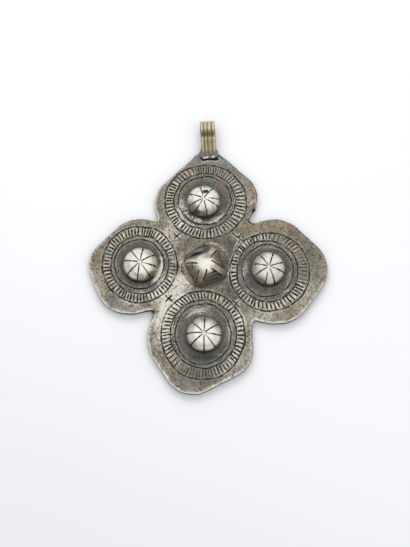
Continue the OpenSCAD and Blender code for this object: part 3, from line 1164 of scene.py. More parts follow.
    def marks(self, points: np.ndarray, cuts: Cuts) -> Marks:
        """Tarnish, wear, bare copper, film and blackening at each place of the front; the blackening and the
        wear also carry painted shadow and painted highlight.

        Args:
            points: places on the plate.
            cuts: what the engraving does there.

        Returns:
            All the marks.
        """
        marks = {shade.value: stains(PATCHES, shade, points) for shade in Shade}
        for lobe in LOBES:
            share = lobe.rise(points, 1.0)[1]
            gap = np.linalg.norm(points - lobe.head.centre, axis=1) - lobe.head.mean
            shaded_low_side = ease((lobe.head.y - points[:, 1]) / lobe.head.high, 0.2, 0.9)
            marks[Mark.TARNISH] += 0.82 * lobe.disc(points) + 0.25 * ease(share, 0.02, 0.35)
            marks[Mark.TARNISH] += 0.35 * (1 - ease(gap, 0.1, 1.1)) * (share > 0)
            # Painted shadow on the plate just below the low side of each head.
            marks[Mark.CUT] += 0.55 * (1 - ease(gap, 0.1, 0.55)) * shaded_low_side
        near = self.collar.rise(points)[1]
        around = np.interp(turns_of(points) % 360, *np.array(self.surround).T)
        around = around * (1 - ease(np.linalg.norm(points, axis=1), 5.4, 6.8))
        marks[Mark.TARNISH] += around * (1 - 0.6 * near) + 0.12 * cuts.grime
        # The collar's crest and the border get wear with a painted highlight, and the burrs beside the cuts
        # are worn bright.
        marks[Mark.WORN] += near + 0.85 * cuts.burr + self._edge_wear_and_highlight(points)
        marks[Mark.CUT] = np.maximum(cuts.cut, marks[Mark.CUT])
        return {mark: np.clip(value, 0, 1.4) for mark, value in marks.items()}

    def build(self) -> bpy.types.Object:
        """Makes the plate as one closed mesh.

        Returns:
            The piece.
        """
        draft = MeshDraft()
        seats = [(0.0, 0.0), *[tuple(lobe.head.centre) for lobe in LOBES]]
        engraving = Engraving(self.strokes())
        ridges = Engraving([
            Stroke(curve_through(path, PATH_STEP), half, high, shine)
            for half, high, shine, path in self.ridges
        ])
        sheet = ChasedSheet(
            rim=self.outline(self.rim_round),
            engraving=engraving,
            pitch=self.grid_pitch,
            holes=[circle(x, y, self.stem_hole) for x, y in seats],
            seams=[seam for lobe in LOBES for seam in lobe.crown_seams()] + [ridges.support()],
        )
        flat, faces, loops = sheet.triangles()
        cuts, raised = engraving.measure(flat), ridges.measure(flat)
        height = self.surface(flat) - cuts.depth + raised.depth + self.burr_height * cuts.burr
        marks = self.marks(flat, cuts)
        marks[Mark.WORN] += raised.cut
        draft.add(at_height(flat, height), marks)
        draft.faces += faces
        side = self._rim(draft, loops[0], height[loops[0]])
        self._back(draft, seats, side, loops[1:])
        return draft.build("plate")

    def _edge_wear_and_highlight(self, points: np.ndarray) -> np.ndarray:
        """Brightness of the worn border just inside the plate's edge, with a painted highlight towards the
        lower left.

        Args:
            points: places on the plate.

        Returns:
            The wear and a painted highlight, most of it towards the lower left.
        """
        gap = gap_to(self.outline(0.0), points)
        reach = np.linalg.norm(points, axis=1) + 0.1
        # Painted highlight: the worn border is brighter towards the lower left.
        highlight_side = np.clip(0.5 - 0.6 * points[:, 1] / reach - 0.15 * points[:, 0] / reach, 0.15, 1)
        broken = np.clip(0.8 + 1.2 * ripple(points, 1.3, 61.0), 0.2, 1.3)
        return 0.8 * highlight_side * broken * (1 - ease(gap, 0.5, 0.95))

    def _rim(self, draft: MeshDraft, ring: list[int], heights: np.ndarray) -> list[int]:
        """Rounded front edge and dark side, with painted highlight and painted shade on the rounding and
        painted shadow on the side.

        Args:
            draft: the plate's mesh so far.
            ring: the numbers of the front's outermost points.
            heights: their heights.

        Returns:
            The numbers of the lowest ring of points.
        """
        steps = self.rim_steps
        outwards = self.outline(0.0) - self.outline(0.5)
        outwards /= np.linalg.norm(outwards, axis=1)[:, None]
        east, north = outwards.T
        # Painted shade darkens the rounding on the edges that face up and right, and a painted highlight
        # brightens it on those that face down and left.
        upper_right_shade = np.clip(north + 0.5 * east, 0, 1)
        highlight_side = np.clip(0.58 - 0.5 * north - 0.3 * east, 0.05, 1)
        for k in range(1, steps + 1):
            turn = math.pi / 2 * k / steps
            loop = self.outline(self.rim_round * (1 - math.sin(turn)))
            z = heights - self.rim_round * (1 - math.cos(turn)) - (heights - self.thickness) * k / steps
            patchy = 1 + 0.7 * ripple(loop, 1.7, 6.0)
            # The lower part of the rounding darkens all round as tarnish, and more where it faces down, as
            # painted shadow, and up and right, as painted shade.
            rim_grime_and_shade = np.clip(2 * k / steps - 1.35 + 0.55 * np.clip(-north, 0, 1) + 0.7 * upper_right_shade, 0, 1)
            marks = {shade.value: stains(PATCHES, shade, loop) for shade in Shade}
            marks[Mark.WORN] = 1.6 * patchy * highlight_side * (1.0 - 0.25 * abs(k - 2) / steps)
            marks[Mark.TARNISH] += 0.45 * upper_right_shade
            marks[Mark.CUT] += patchy * self.side_grime_and_shade * rim_grime_and_shade
            ring = draft.grow(ring, at_height(loop, z), marks)
        # The side is blackened all round: tarnish of the sawn edge and painted shadow under it.
        for z, inset, dirt in ((0.75, 0.0, 0.9), (0.45, 0.02, 1.0), (self.back_round, 0.05, 1.0)):
            loop = self.outline(inset)
            grime = self.side_grime_and_shade * dirt * (1 + 0.5 * ripple(loop, 1.2, 9.0))
            ring = draft.grow(ring, at_height(loop, z), {Mark.CUT: grime})
        return ring

    def _back(
        self, draft: MeshDraft, seats: list[Place], side: list[int], tops: list[list[int]]
    ) -> None:
        """Flat back with the countersunk holes, joined to the side and to the front's holes.

        Args:
            draft: the plate's mesh so far.
            seats: the middles of the stem holes.
            side: the numbers of the side's lowest ring.
            tops: the numbers of the points round each hole in the front.
        """
        rim = self.outline(self.back_round + 0.05)
        holes = [circle(x, y, self.back_hole) for x, y in seats]
        scratches = Engraving([
            Stroke(np.array([(3.1 * k - 20, 1.3 * k - 6), (3.6 * k - 12, 1.1 * k - 1)]), 0.08, 0.0, 0.4)
            for k in range(8)
        ])
        flat, faces, loops = ChasedSheet(rim, scratches, self.back_pitch, holes).triangles()
        numbers = draft.add(at_height(flat, 0.0), {
            Mark.CUT: scratches.measure(flat).cut,
            Mark.TARNISH: np.clip(0.35 + 0.5 * ripple(flat, 6.0, 8.0), 0, 1),
            Mark.WORN: 0.3,
        })
        draft.faces += [tuple(numbers[n] for n in reversed(f)) for f in faces]
        draft.bridge([numbers[n] for n in loops[0]], side)
        for (x, y), top, back in zip(seats, tops, loops[1:]):
            neck = at_height(circle(x, y, self.stem_hole), self.back_hole_deep)
            ring = draft.grow([numbers[n] for n in back], neck, {Mark.TARNISH: 1.0})
            draft.bridge(top, ring)


@dataclass(frozen=True)
class Stem:
    """The stem under a boss: through the plate, and hammered out wider at the back."""

    radius: float = 1.5
    peen: float = 2.2
    peen_high: float = 0.6
    peen_edge: float = 0.05
    bevel: float = 0.1
    inner_share: float = 0.6
    hub_tarnish: float = 0.3

    def build(
        self, draft: MeshDraft, ring: list[int], around: np.ndarray, centre: np.ndarray,
        foot: float, tarnish: float,
    ) -> None:
        """Closes a boss from below with its flat underside, its stem and the hammered end.

        Args:
            draft: the boss's mesh so far.
            ring: the numbers of its lowest points.
            around: a unit circle with as many points.
            centre: the middle of the stem.
            foot: height of the underside.
            tarnish: how dark the metal is there.
        """
        rows = (
            (self.radius + self.bevel, foot), (self.radius, foot - self.bevel),
            (self.radius, self.peen_high), (self.peen, self.peen_edge),
            (self.peen - self.bevel, 0.0), (self.inner_share * self.peen, 0.0),
        )
        for reach, height in rows:
            points = at_height(centre + around * reach, height)
            ring = draft.grow(ring, points, {Mark.TARNISH: tarnish})
        hub = draft.add(at_height(centre[None], 0.0), {Mark.TARNISH: self.hub_tarnish})
        draft.fan(ring[::-1], hub[0])


@dataclass
class DomedHead:
    """A domed boss head on its stem, with lines that run down from the top."""

    lobe: Lobe
    stem: Stem = Stem()
    foot: float = 3.35
    wall: float = 0.6
    dome: float = 3.3
    dome_points: int = 40
    under_round: float = 0.14
    under_tarnish: float = 0.7
    spoke_share: float = 0.93
    petal_deep: float = 0.11
    petal_turn: float = 16.0
    grid_pitch: float = 0.3
    rim_points: int = 120

    def profile(self) -> np.ndarray:
        """The head's outline from its top to its underside.

        Returns:
            Rows of distance along the surface from the top, radius and height.
        """
        radius, bevel = self.lobe.head.mean, self.under_round
        ball = (radius ** 2 + self.dome ** 2) / (2 * self.dome)
        top = self.foot + self.wall + self.dome
        turns = np.linspace(0, math.asin(radius / ball), self.dome_points)
        table = np.array([
            *[(ball * math.sin(t), top - ball * (1 - math.cos(t))) for t in turns],
            (radius, self.foot + 0.6 * self.wall),
            (radius, self.foot + bevel),
            (radius - 0.3 * bevel, self.foot + 0.3 * bevel),
            (radius - bevel, self.foot),
        ])
        return np.column_stack([distances(table), table])

    def strokes(self, length: float) -> list[Stroke]:
        """The spokes and chips, in the head's flat pattern.

        Args:
            length: distance along the surface from the top to the foot.

        Returns:
            One stroke for each spoke and each chip.
        """
        found = []
        for k, (turn, start, end) in enumerate(self.lobe.spokes):
            bend = 5.0 * ripple_at((turn * 0.37, 2.0 + k), 1.0, 6.0)
            shares = np.array([0.5 * start, (start + end) / 2, end]) * self.spoke_share
            path = [bearing(turn + bend * (share - 0.5)) * share * length for share in shares]
            found.append(Stroke(curve_through(path, FINE_STEP), 0.17, 0.14, 1.1, uneven=0.8, flare=0.7))
        for chip in self.lobe.chips:
            found.append(Stroke(curve_through(chip, FINE_STEP), 0.8, 0.2, 0.42, burr=0.0, uneven=0.3))
        return found

    def build(self) -> bpy.types.Object:
        """Makes the head, its underside and its stem as one closed mesh.

        Returns:
            The piece.
        """
        table, head = self.profile(), self.lobe.head
        length = float(table[-1, 0])
        turns = np.arange(self.rim_points) * FULL_TURN / self.rim_points
        around = np.column_stack([np.cos(turns), np.sin(turns)])
        rim = around * length
        levels = [*table[self.dome_points:-1, 0], length - 0.9, length - 1.3]
        seams = [rim / length * level for level in levels]
        engraving = Engraving(self.strokes(length))
        flat, faces, loops = ChasedSheet(rim, engraving, self.grid_pitch, seams=seams).triangles()
        cuts = engraving.measure(flat)
        away = np.linalg.norm(flat, axis=1)
        way = flat / np.maximum(away, TINY)[:, None]
        slope = np.gradient(table[:, 1:], table[:, 0], axis=0)
        columns = (table[:, 1], table[:, 2], slope[:, 0], slope[:, 1])
        reach, height, up, out = (np.interp(away, table[:, 0], column) for column in columns)
        dents = 0.07 * ripple(flat, 3.2, 11.0 + head.x) + 0.03 * ripple(flat, 1.2, 12.0)
        dents *= ease(away, 0.0, 1.5) * (1 - ease(away, length - 0.7, length - 0.2))
        petals = self.petal_deep * self._petals(turns_of(flat)) * ease(away / length, 0.35, 0.8)
        sink = cuts.depth * (1 - ease(away, length - 0.3, length)) + petals - dents
        stretch = np.array([head.wide, head.high]) / head.mean
        place = head.centre + way * (reach + sink * out)[:, None] * stretch
        draft = MeshDraft()
        draft.add(at_height(place, height - sink * up), self._marks(away, length, cuts, place))
        draft.faces += faces
        self.stem.build(draft, loops[0], around, head.centre, self.foot, self.under_tarnish)
        return draft.build(f"head_{self.lobe.name}")

    def _petals(self, turns: np.ndarray) -> np.ndarray:
        """How near each direction is to a spoke, from 0 between two spokes to 1."""
        gaps = [turn_gap(turns, spoke[0]) for spoke in self.lobe.spokes]
        return 1 - ease(np.min(gaps, axis=0), 0.0, self.petal_turn)

    def _marks(self, away: np.ndarray, length: float, cuts: Cuts, place: np.ndarray) -> Marks:
        """Wear with a painted highlight on the dome, dirt in the lines and round the foot, and painted shade
        and shadow that make the low side darker.

        Args:
            away: distance of each point from the top, along the surface.
            length: that distance at the foot.
            cuts: what the lines do at each point.
            place: the points, seen from above.

        Returns:
            All the marks but film.
        """
        wall, head = length - self.wall, self.lobe.head
        spokes = np.sort([spoke[0] % 360 for spoke in self.lobe.spokes])
        order = np.searchsorted(spokes, turns_of(place - head.centre) % 360) % len(spokes)
        # Each petal gets its own brightness, painted as the petals' differing shine.
        petal_shine = ripple(np.column_stack([1.37 * order + head.x, 0.7 * order]), 1.0, 22.0)
        patchy = 0.5 + ripple(place, 1.6, 21.0)
        shaded_low_side = np.clip((head.y - place[:, 1]) / head.mean, 0, 1)
        # Painted shade: on the low side the dirt starts higher up.
        start = wall - 0.45 + 0.4 * patchy - 0.5 * shaded_low_side ** 2
        dirt = 0.95 * ease(away, start, start + 0.6) + 0.15 * cuts.grime
        # Painted shadow under the head's edge on the low side.
        edge = 0.8 * shaded_low_side * ease(away, wall - 0.25, wall + 0.1)
        copper = 0.7 * ease(away, wall - 0.5, wall) * ease(patchy, 0.4, 0.75)
        # On the low side the brown rim reaches higher as painted shade.
        copper = copper + 1.1 * shaded_low_side ** 2 * ease(away, wall - 1.5 * patchy, wall - 0.3)
        # The dome is brighter towards the top: wear and a painted highlight.
        return {
            Mark.CUT: np.maximum(cuts.cut, edge),
            Mark.TARNISH: np.clip(dirt + stains(HEAD_PATCHES, Shade.DARK, place), 0, 1.2),
            Mark.WORN: np.clip(1.1 - 0.9 * ease(away, 0.6 * length, length) + 0.9 * petal_shine, 0, 1.2),
            Mark.COPPER: copper + stains(HEAD_PATCHES, Shade.RUSTY, place),
        }


@dataclass
class CentreBoss:
    """The faceted centre boss: four facets and four ridges flattened into bands.

    Ridges and facets are rows of direction in degrees and distance out at the foot. The
    slope's rows are the share of the distance out and the share of the height.
    """

    foot: float = 1.65
    height: float = 5.7
    band: float = 1.9
    band_reach: float = 5.8
    stem: Stem = Stem()
    under_tarnish: float = 0.8
    crispness: float = 30.0
    grid_pitch: float = 0.32
    rim_points: int = 160
    ridges: tuple[tuple[float, float], ...] = (
        (66.1, 5.83), (166.7, 5.89), (245.5, 5.9), (339.0, 6.2),
    )
    facets: tuple[tuple[float, float], ...] = ((116.0, 4.75), (206.0, 4.8), (292.0, 4.8), (22.0, 4.8))
    slope: tuple[tuple[float, float], ...] = (
        (0.0, 1.0), (0.1, 0.999), (0.18, 0.99), (0.32, 0.945), (0.5, 0.85), (0.72, 0.66),
        (0.9, 0.42), (0.985, 0.2), (1.0, 0.08), (1.0, 0.0),
    )
    small_share: float = 0.18
    slot_turn: float = 116.0
    # Each row is a facet's direction, how dark it is and how grey; the darkness and greyness are tarnish and
    # painted shade, set facet by facet.
    faces: tuple[tuple[float, float, float], ...] = (
        (22.0, 0.35, 0.3), (206.0, 0.35, 0.2), (292.0, 0.9, 0.1), (116.0, 0.1, 0.9),
    )
    dull_arms: tuple[tuple[float, float], ...] = (
        (245.5, 1.0), (339.0, 1.3), (66.1, 0.55), (166.7, 0.2),
    )
    edges: tuple[tuple[Place, Place], ...] = (
        ((1.2, 1.8), (3.0, 4.6)), ((-2.3, 0.25), (-5.6, 0.9)),
        ((1.5, 0.95), (4.9, -0.7)), ((1.35, -1.2), (4.3, -2.85)),
        ((-2.1, -1.7), (-2.8, -4.75)), ((0.2, -1.5), (-0.65, -4.3)),
    )
    # The slot is a deep groove painted black as the shadow between the boss and the collar.
    slot_shadow: tuple[Place, ...] = ((-3.9, 2.95), (-3.0, 3.3), (-1.6, 3.6))
    seam: tuple[Place, ...] = ((-2.3, 2.9), (-0.9, 3.5), (-0.2, 4.0), (0.3, 4.5))
    lines: tuple[tuple[Place, ...], ...] = (
        ((177, 3.9), (197, 3.8), (221, 4.0)),
        ((179, 4.7), (201, 4.2), (228, 4.7)),
        ((182, 5.1), (206, 4.7), (232, 5.3)),
        ((276, 3.0), (303, 2.7), (328, 3.4)),
        ((273, 3.8), (300, 3.5), (325, 4.4)),
        ((264, 4.6), (290, 4.2), (316, 4.7)),
        ((51, 3.9), (32, 3.4), (13, 3.8)),
        ((46, 4.7), (38, 4.4), (31, 4.6)),
    )

    def levels(self) -> np.ndarray:
        """Rows of distance along the slope, share of the distance out and height.

        Returns:
            The rows.
        """
        dense = np.clip(even_steps(curve_through(self.slope, 0.01), 0.01), 0, 1)
        size = dense * np.array([self.facets[0][1], self.height])
        return np.column_stack([distances(size), dense[:, 0], self.foot + size[:, 1]])

    def reach(self, turn: np.ndarray, share: np.ndarray) -> np.ndarray:
        """Distance from the axis to the surface.

        Args:
            turn: direction in degrees.
            share: share of the distance out, which picks the level.

        Returns:
            The distance for each pair.
        """
        total = np.zeros(np.broadcast(turn, share).shape)
        share = np.maximum(share, 1e-4)
        for angle, far in self.facets:
            face = np.maximum(np.cos(np.radians(turn - angle)), 0) / (far * share)
            total = total + face ** self.crispness
        for angle, far in self.ridges:
            wide = (far + self.band / 2) * share - self.band / 2
            least = (far + self.band / 2) * self.small_share - self.band / 2
            flat = np.where(share > self.small_share, wide, least * share / self.small_share)
            face = np.maximum(np.cos(np.radians(turn - angle)), 0) / np.maximum(flat, 1e-4)
            total = total + face ** self.crispness
        return total ** (-1 / self.crispness)

    def chart(self, turn: float, reach: float, table: np.ndarray) -> Place:
        """Place in the flat pattern of a point seen from above.

        Args:
            turn: its direction in degrees.
            reach: its distance from the axis.
            table: the levels.

        Returns:
            The place in the flat pattern.
        """
        reaches = self.reach(np.full(len(table), turn), table[:, 1])
        along = float(np.interp(reach, reaches, table[:, 0]))
        return tuple(bearing(turn) * along)

    def chart_all(self, spots: Sequence[Place], table: np.ndarray) -> np.ndarray:
        """Places in the flat pattern of points seen from above.

        Args:
            spots: rows of x and y.
            table: the levels.

        Returns:
            The places.
        """
        return np.array([
            self.chart(math.degrees(math.atan2(y, x)), math.hypot(x, y), table) for x, y in spots
        ])

    def strokes(self, table: np.ndarray) -> list[Stroke]:
        """The lines along the bands and across the facets.

        Args:
            table: the levels.

        Returns:
            The strokes, in the flat pattern.
        """
        found = [
            Stroke(self.chart_all(np.linspace(start, end, 9), table), 0.21, 0.17, 1.0)
            for start, end in self.edges
        ]
        # The slot is painted black as the shadow between the boss and the collar.
        slot_shadow, seam = self.chart_all(self.slot_shadow, table), self.chart_all(self.seam, table)
        found.append(Stroke(slot_shadow, 1.15, 0.4, 2.6, burr=0.0, uneven=0.2, flare=-0.8))
        found.append(Stroke(seam, 0.2, 0.14, 1.1, burr=0.0))
        for line in self.lines:
            path = [self.chart(turn, reach, table) for turn, reach in line]
            found.append(Stroke(curve_through(path, FINE_STEP), 0.2, 0.15, 0.95))
        return found

    def _seams(self, table: np.ndarray) -> list[np.ndarray]:
        """Lines of points along the middle and both edges of each band.

        Args:
            table: the levels.

        Returns:
            The lines, in the flat pattern.
        """
        seams = []
        for ridge, _ in self.ridges:
            for side in (-1, 0, 1):
                beside = bearing(ridge + 90) * side * self.band / 2
                seams.append(self.chart_all([
                    bearing(ridge) * self.band_reach * share + beside
                    for share in np.linspace(0.15, 0.99, 34)
                ], table))
        return seams

    def build(self) -> bpy.types.Object:
        """Makes the boss and its stem as one closed mesh.

        Returns:
            The piece.
        """
        table = self.levels()
        length = float(table[-1, 0])
        turns = np.radians(np.arange(self.rim_points) * 360 / self.rim_points)
        around = np.column_stack([np.cos(turns), np.sin(turns)])
        engraving = Engraving(self.strokes(table))
        sheet = ChasedSheet(around * length, engraving, self.grid_pitch, seams=self._seams(table))
        flat, faces, loops = sheet.triangles()
        cuts = engraving.measure(flat)
        away, turn = np.linalg.norm(flat, axis=1), turns_of(flat)
        columns = (table[:, 1], table[:, 2], -np.gradient(table[:, 2], table[:, 0]))
        share, height, steep = (np.interp(away, table[:, 0], column) for column in columns)
        gentle = np.sqrt(np.clip(1 - steep ** 2, 0, 1))
        dents = 0.09 * ripple(flat, 2.6, 31.0) + 0.04 * ripple(flat, 0.9, 32.0)
        sink = cuts.depth - dents * ease(away, 0.3, 1.5) * (1 - ease(away, length - 1.0, length - 0.3))
        way = flat / np.maximum(away, TINY)[:, None]
        place = way * (self.reach(turn, share) - sink * steep)[:, None]
        place[away < 1e-6] = 0
        draft = MeshDraft()
        draft.add(at_height(place, height - sink * gentle), self._marks(place, turn, share, cuts))
        draft.faces += faces
        self.stem.build(draft, loops[0], around, np.zeros(2), self.foot, self.under_tarnish)
        return draft.build("boss_centre_faceted", 35.0)

    def _marks(self, place: np.ndarray, turn: np.ndarray, share: np.ndarray, cuts: Cuts) -> Marks:
        """Wear on the bands and the top, tarnish and painted shade on the facets, tarnish round the foot,
        and a painted shadow in the slot.

        Args:
            place: the points, seen from above.
            turn: their directions in degrees.
            share: their shares of the distance out.
            cuts: what the lines do at each point.

        Returns:
            All the marks.
        """
        on_band, dark, slate, dull = np.zeros((4, len(place)))
        for angle, _ in self.ridges:
            side = np.abs(place @ bearing(angle + 90))
            ahead = place @ bearing(angle) > 0
            on_band = np.maximum(on_band, (1 - ease(side, 0.74, 0.92)) * ahead)
        # The facets' darkness by direction: tarnish and painted shade.
        for angle, darkness, greyness in self.faces:
            facing = 1 - ease(turn_gap(turn, angle), 30.0, 50.0)
            dark, slate = np.maximum(dark, darkness * facing), np.maximum(slate, greyness * facing)
        edge = share + 0.1 * ripple(place, 1.4, 33.0)
        for angle, dullness in self.dull_arms:
            dull = np.maximum(dull, dullness * (turn_gap(turn, angle) < 30.0) * ease(edge, 0.26, 0.52))
        top = 1 - ease(share + 0.08 * ripple(place, 1.1, 34.0), 0.2, 0.34)
        low = ease(share, 0.88, 1.0)
        facing_slot = 1 - ease(np.abs(turn - self.slot_turn), 20.0, 45.0)
        side = (1 - on_band) * ease(share, 0.35 + 0.2 * facing_slot, 0.7)
        shoulder = facing_slot * (1 - ease(share, 0.56, 0.64))
        wear = np.maximum.reduce([on_band * (1 - 0.5 * low) * (1 - dull), top, shoulder])
        tarnish = dark * side + 0.35 * low + 0.45 * dull + 0.15 * cuts.grime
        # The black patch paints the shadow in the slot.
        return {
            Mark.CUT: np.maximum(cuts.cut, stains(HEAD_PATCHES, Shade.BLACK, place)),
            Mark.TARNISH: np.clip(tarnish + stains(HEAD_PATCHES, Shade.DARK, place), 0, 1.2),
            Mark.WORN: np.clip(wear, 0, 0.7),
            Mark.COPPER: 0.2 * side + stains(HEAD_PATCHES, Shade.RUSTY, place),
            Mark.FILM: slate * side + stains(HEAD_PATCHES, Shade.FILM, place) * side,
        }


@dataclass
class Bail:
    """The reeded strip that runs up from the plate, round the eye and down behind it."""

    foot: Place = (0.75, 32.8)
    lean: float = 3.3
    width: float = 4.1
    thickness: float = 0.62
    ribs: tuple[float, ...] = (0.0, 0.23, 0.47, 0.77, 1.0)
    rib_points: int = 9
    groove: float = 0.24
    foot_reach: float = 0.9
    front_z: float = 1.875
    back_z: float = 1.225
    back_start: float = 0.12
    eye: Place = (6.9, 2.1)
    eye_mid: float = 1.775
    neck_round: float = 1.0
    step: float = 0.24
    groove_dirt: tuple[float, ...] = (0.6, 1.1, 0.7, 1.05, 0.5)
    front_share: float = 0.4

    def route(self) -> np.ndarray:
        """Middle line of the strip, seen from its side.

        Returns:
            Rows of distance up the strip and height, from the front foot to the back end.
        """
        ey, ez = self.eye
        both = self.eye_mid + self.neck_round
        front_centre_z = self.front_z + self.neck_round
        front_y = ey - math.sqrt(both ** 2 - (front_centre_z - ez) ** 2)
        back_centre_z = self.back_z - self.neck_round
        back_y = ey - math.sqrt(both ** 2 - (back_centre_z - ez) ** 2)
        front_turn = math.atan2(ez - front_centre_z, ey - front_y)
        back_turn = math.atan2(ez - back_centre_z, ey - back_y)
        parts = [np.array([(-self.foot_reach, self.front_z), (front_y, self.front_z)])]
        turns = np.linspace(-math.pi / 2, front_turn, 10)[1:]
        parts.append(self._arc(front_y, front_centre_z, self.neck_round, turns))
        turns = np.linspace(math.pi + front_turn, back_turn - math.pi, 60)[1:]
        parts.append(self._arc(ey, ez, self.eye_mid, turns))
        turns = np.linspace(back_turn, math.pi / 2, 10)[1:]
        parts.append(self._arc(back_y, back_centre_z, self.neck_round, turns))
        parts.append(np.array([(self.back_start, self.back_z)]))
        return even_steps(np.vstack(parts), self.step)

    @staticmethod
    def _arc(y: float, z: float, radius: float, turns: np.ndarray) -> np.ndarray:
        """Points on an arc."""
        return np.column_stack([y + radius * np.cos(turns), z + radius * np.sin(turns)])

    def section(self) -> np.ndarray:
        """Rows of place across the strip, height of the ribbed face and depth between ribs.

        Returns:
            The rows, from the left edge to the right one.
        """
        rows = []
        for start, end in zip(self.ribs, self.ribs[1:]):
            for k in range(self.rib_points):
                share = k / self.rib_points
                across = start + (end - start) * share - 0.5
                rows.append((self.width * across, self._dip(share)))
        rows.append((self.width / 2, self._dip(1.0)))
        return np.array(rows)

    def _dip(self, share: float) -> float:
        """Depth below a rib's crest at a share of its width."""
        return self.groove * abs(2 * share - 1) ** 2.6

    def place(self, points: np.ndarray) -> np.ndarray:
        """Moves points from the upright bail to where it sits and leans.

        Args:
            points: rows of x, y and z on the upright bail.

        Returns:
            The moved points.
        """
        turn = math.radians(self.lean)
        x = points[:, 0] * math.cos(turn) - points[:, 1] * math.sin(turn) + self.foot[0]
        y = points[:, 0] * math.sin(turn) + points[:, 1] * math.cos(turn) + self.foot[1]
        return np.column_stack([x, y, points[:, 2]])

    def build(self) -> bpy.types.Object:
        """Sweeps the ribbed section along the route.

        Returns:
            The piece.
        """
        route, section = self.route(), self.section()
        way = directions(route)
        normal = np.column_stack([-way[:, 1], way[:, 0]])
        draft = MeshDraft()
        outer_rows, inner_rows = [], []
        for k, (spot, out) in enumerate(zip(route, normal)):
            loose = 0.03 * ripple_at((k * self.step, 0.5), 2.2, 41.0)
            edge = section[:, 0] * (1 + 0.012 * ripple_at((k * self.step, 9.0), 1.5, 42.0))
            lift = np.minimum(self.thickness / 2 - section[:, 1] + loose, self.thickness / 2)
            low = np.full(len(section), -self.thickness / 2)
            outer = np.column_stack([edge, spot[0] + out[0] * lift, spot[1] + out[1] * lift])
            inner = np.column_stack([edge, spot[0] + out[0] * low, spot[1] + out[1] * low])
            marks = self._marks(outer, section, spot[0], k / len(route) < self.front_share)
            outer_rows.append(draft.add(self.place(outer), marks))
            inner_rows.append(draft.add(self.place(inner), {Mark.TARNISH: 0.8}))
        for k in range(len(route) - 1):
            (outer, outer_next), (inner, inner_next) = outer_rows[k:k + 2], inner_rows[k:k + 2]
            draft.bridge(outer_next, outer, closed=False)
            draft.bridge(inner, inner_next, closed=False)
            draft.faces.append((outer[0], outer_next[0], inner_next[0], inner[0]))
            draft.faces.append((inner[-1], inner_next[-1], outer_next[-1], outer[-1]))
        draft.bridge(inner_rows[0], outer_rows[0], closed=False)
        draft.bridge(outer_rows[-1], inner_rows[-1], closed=False)
        return draft.build("bail_strip", 60.0)

    def _marks(self, outer: np.ndarray, section: np.ndarray, up: float, front: bool) -> Marks:
        """Dirt between the ribs, wear on them, tarnish at the foot, painted shade in the crease under the
        eye, and a painted highlight line below it.

        Args:
            outer: one row of points across the ribbed face.
            section: the ribbed section.
            up: the row's distance up the strip.
            front: whether the row is on the front leg.

        Returns:
            The marks.
        """
        dip = section[:, 1] / self.groove
        dirts = np.interp(section[:, 0] / self.width + 0.5, self.ribs, self.groove_dirt)
        outer_ribs = 0.4 + 1.2 * ease(np.abs(section[:, 0]) / self.width, 0.2, 0.36)
        footed = front * (1 - float(ease(up, -0.4, 0.9)))
        # Painted shade in the crease where the front leg turns into the eye, and a painted highlight line at
        # its lower edge.
        crease_shade = front * float(ease(up, 4.0, 4.5) * (1 - ease(up, 5.5, 6.2)))
        in_eye = float(ease(up, 5.7, 6.6))
        highlight_line = front * float(1 - ease(abs(up - 4.05), 0.1, 0.3))
        patchy = 0.8 + 0.6 * ripple(outer, 0.9, 43.0)
        dirt = ease(dip, 0.35, 0.95) * (0.8 - 0.4 * in_eye - 0.5 * crease_shade) * patchy * dirts
        crest = (1 - dip) * (0.3 * patchy * outer_ribs + 0.9 * in_eye) * (1 - 0.6 * crease_shade)
        return {
            Mark.CUT: dirt + 0.12 * crease_shade,
            Mark.TARNISH: 1.1 * footed + 0.2 * ease(dip, 0.1, 0.6) * (1 - crease_shade),
            Mark.WORN: np.clip(crest + 0.5 * highlight_line, 0, 1),
        }


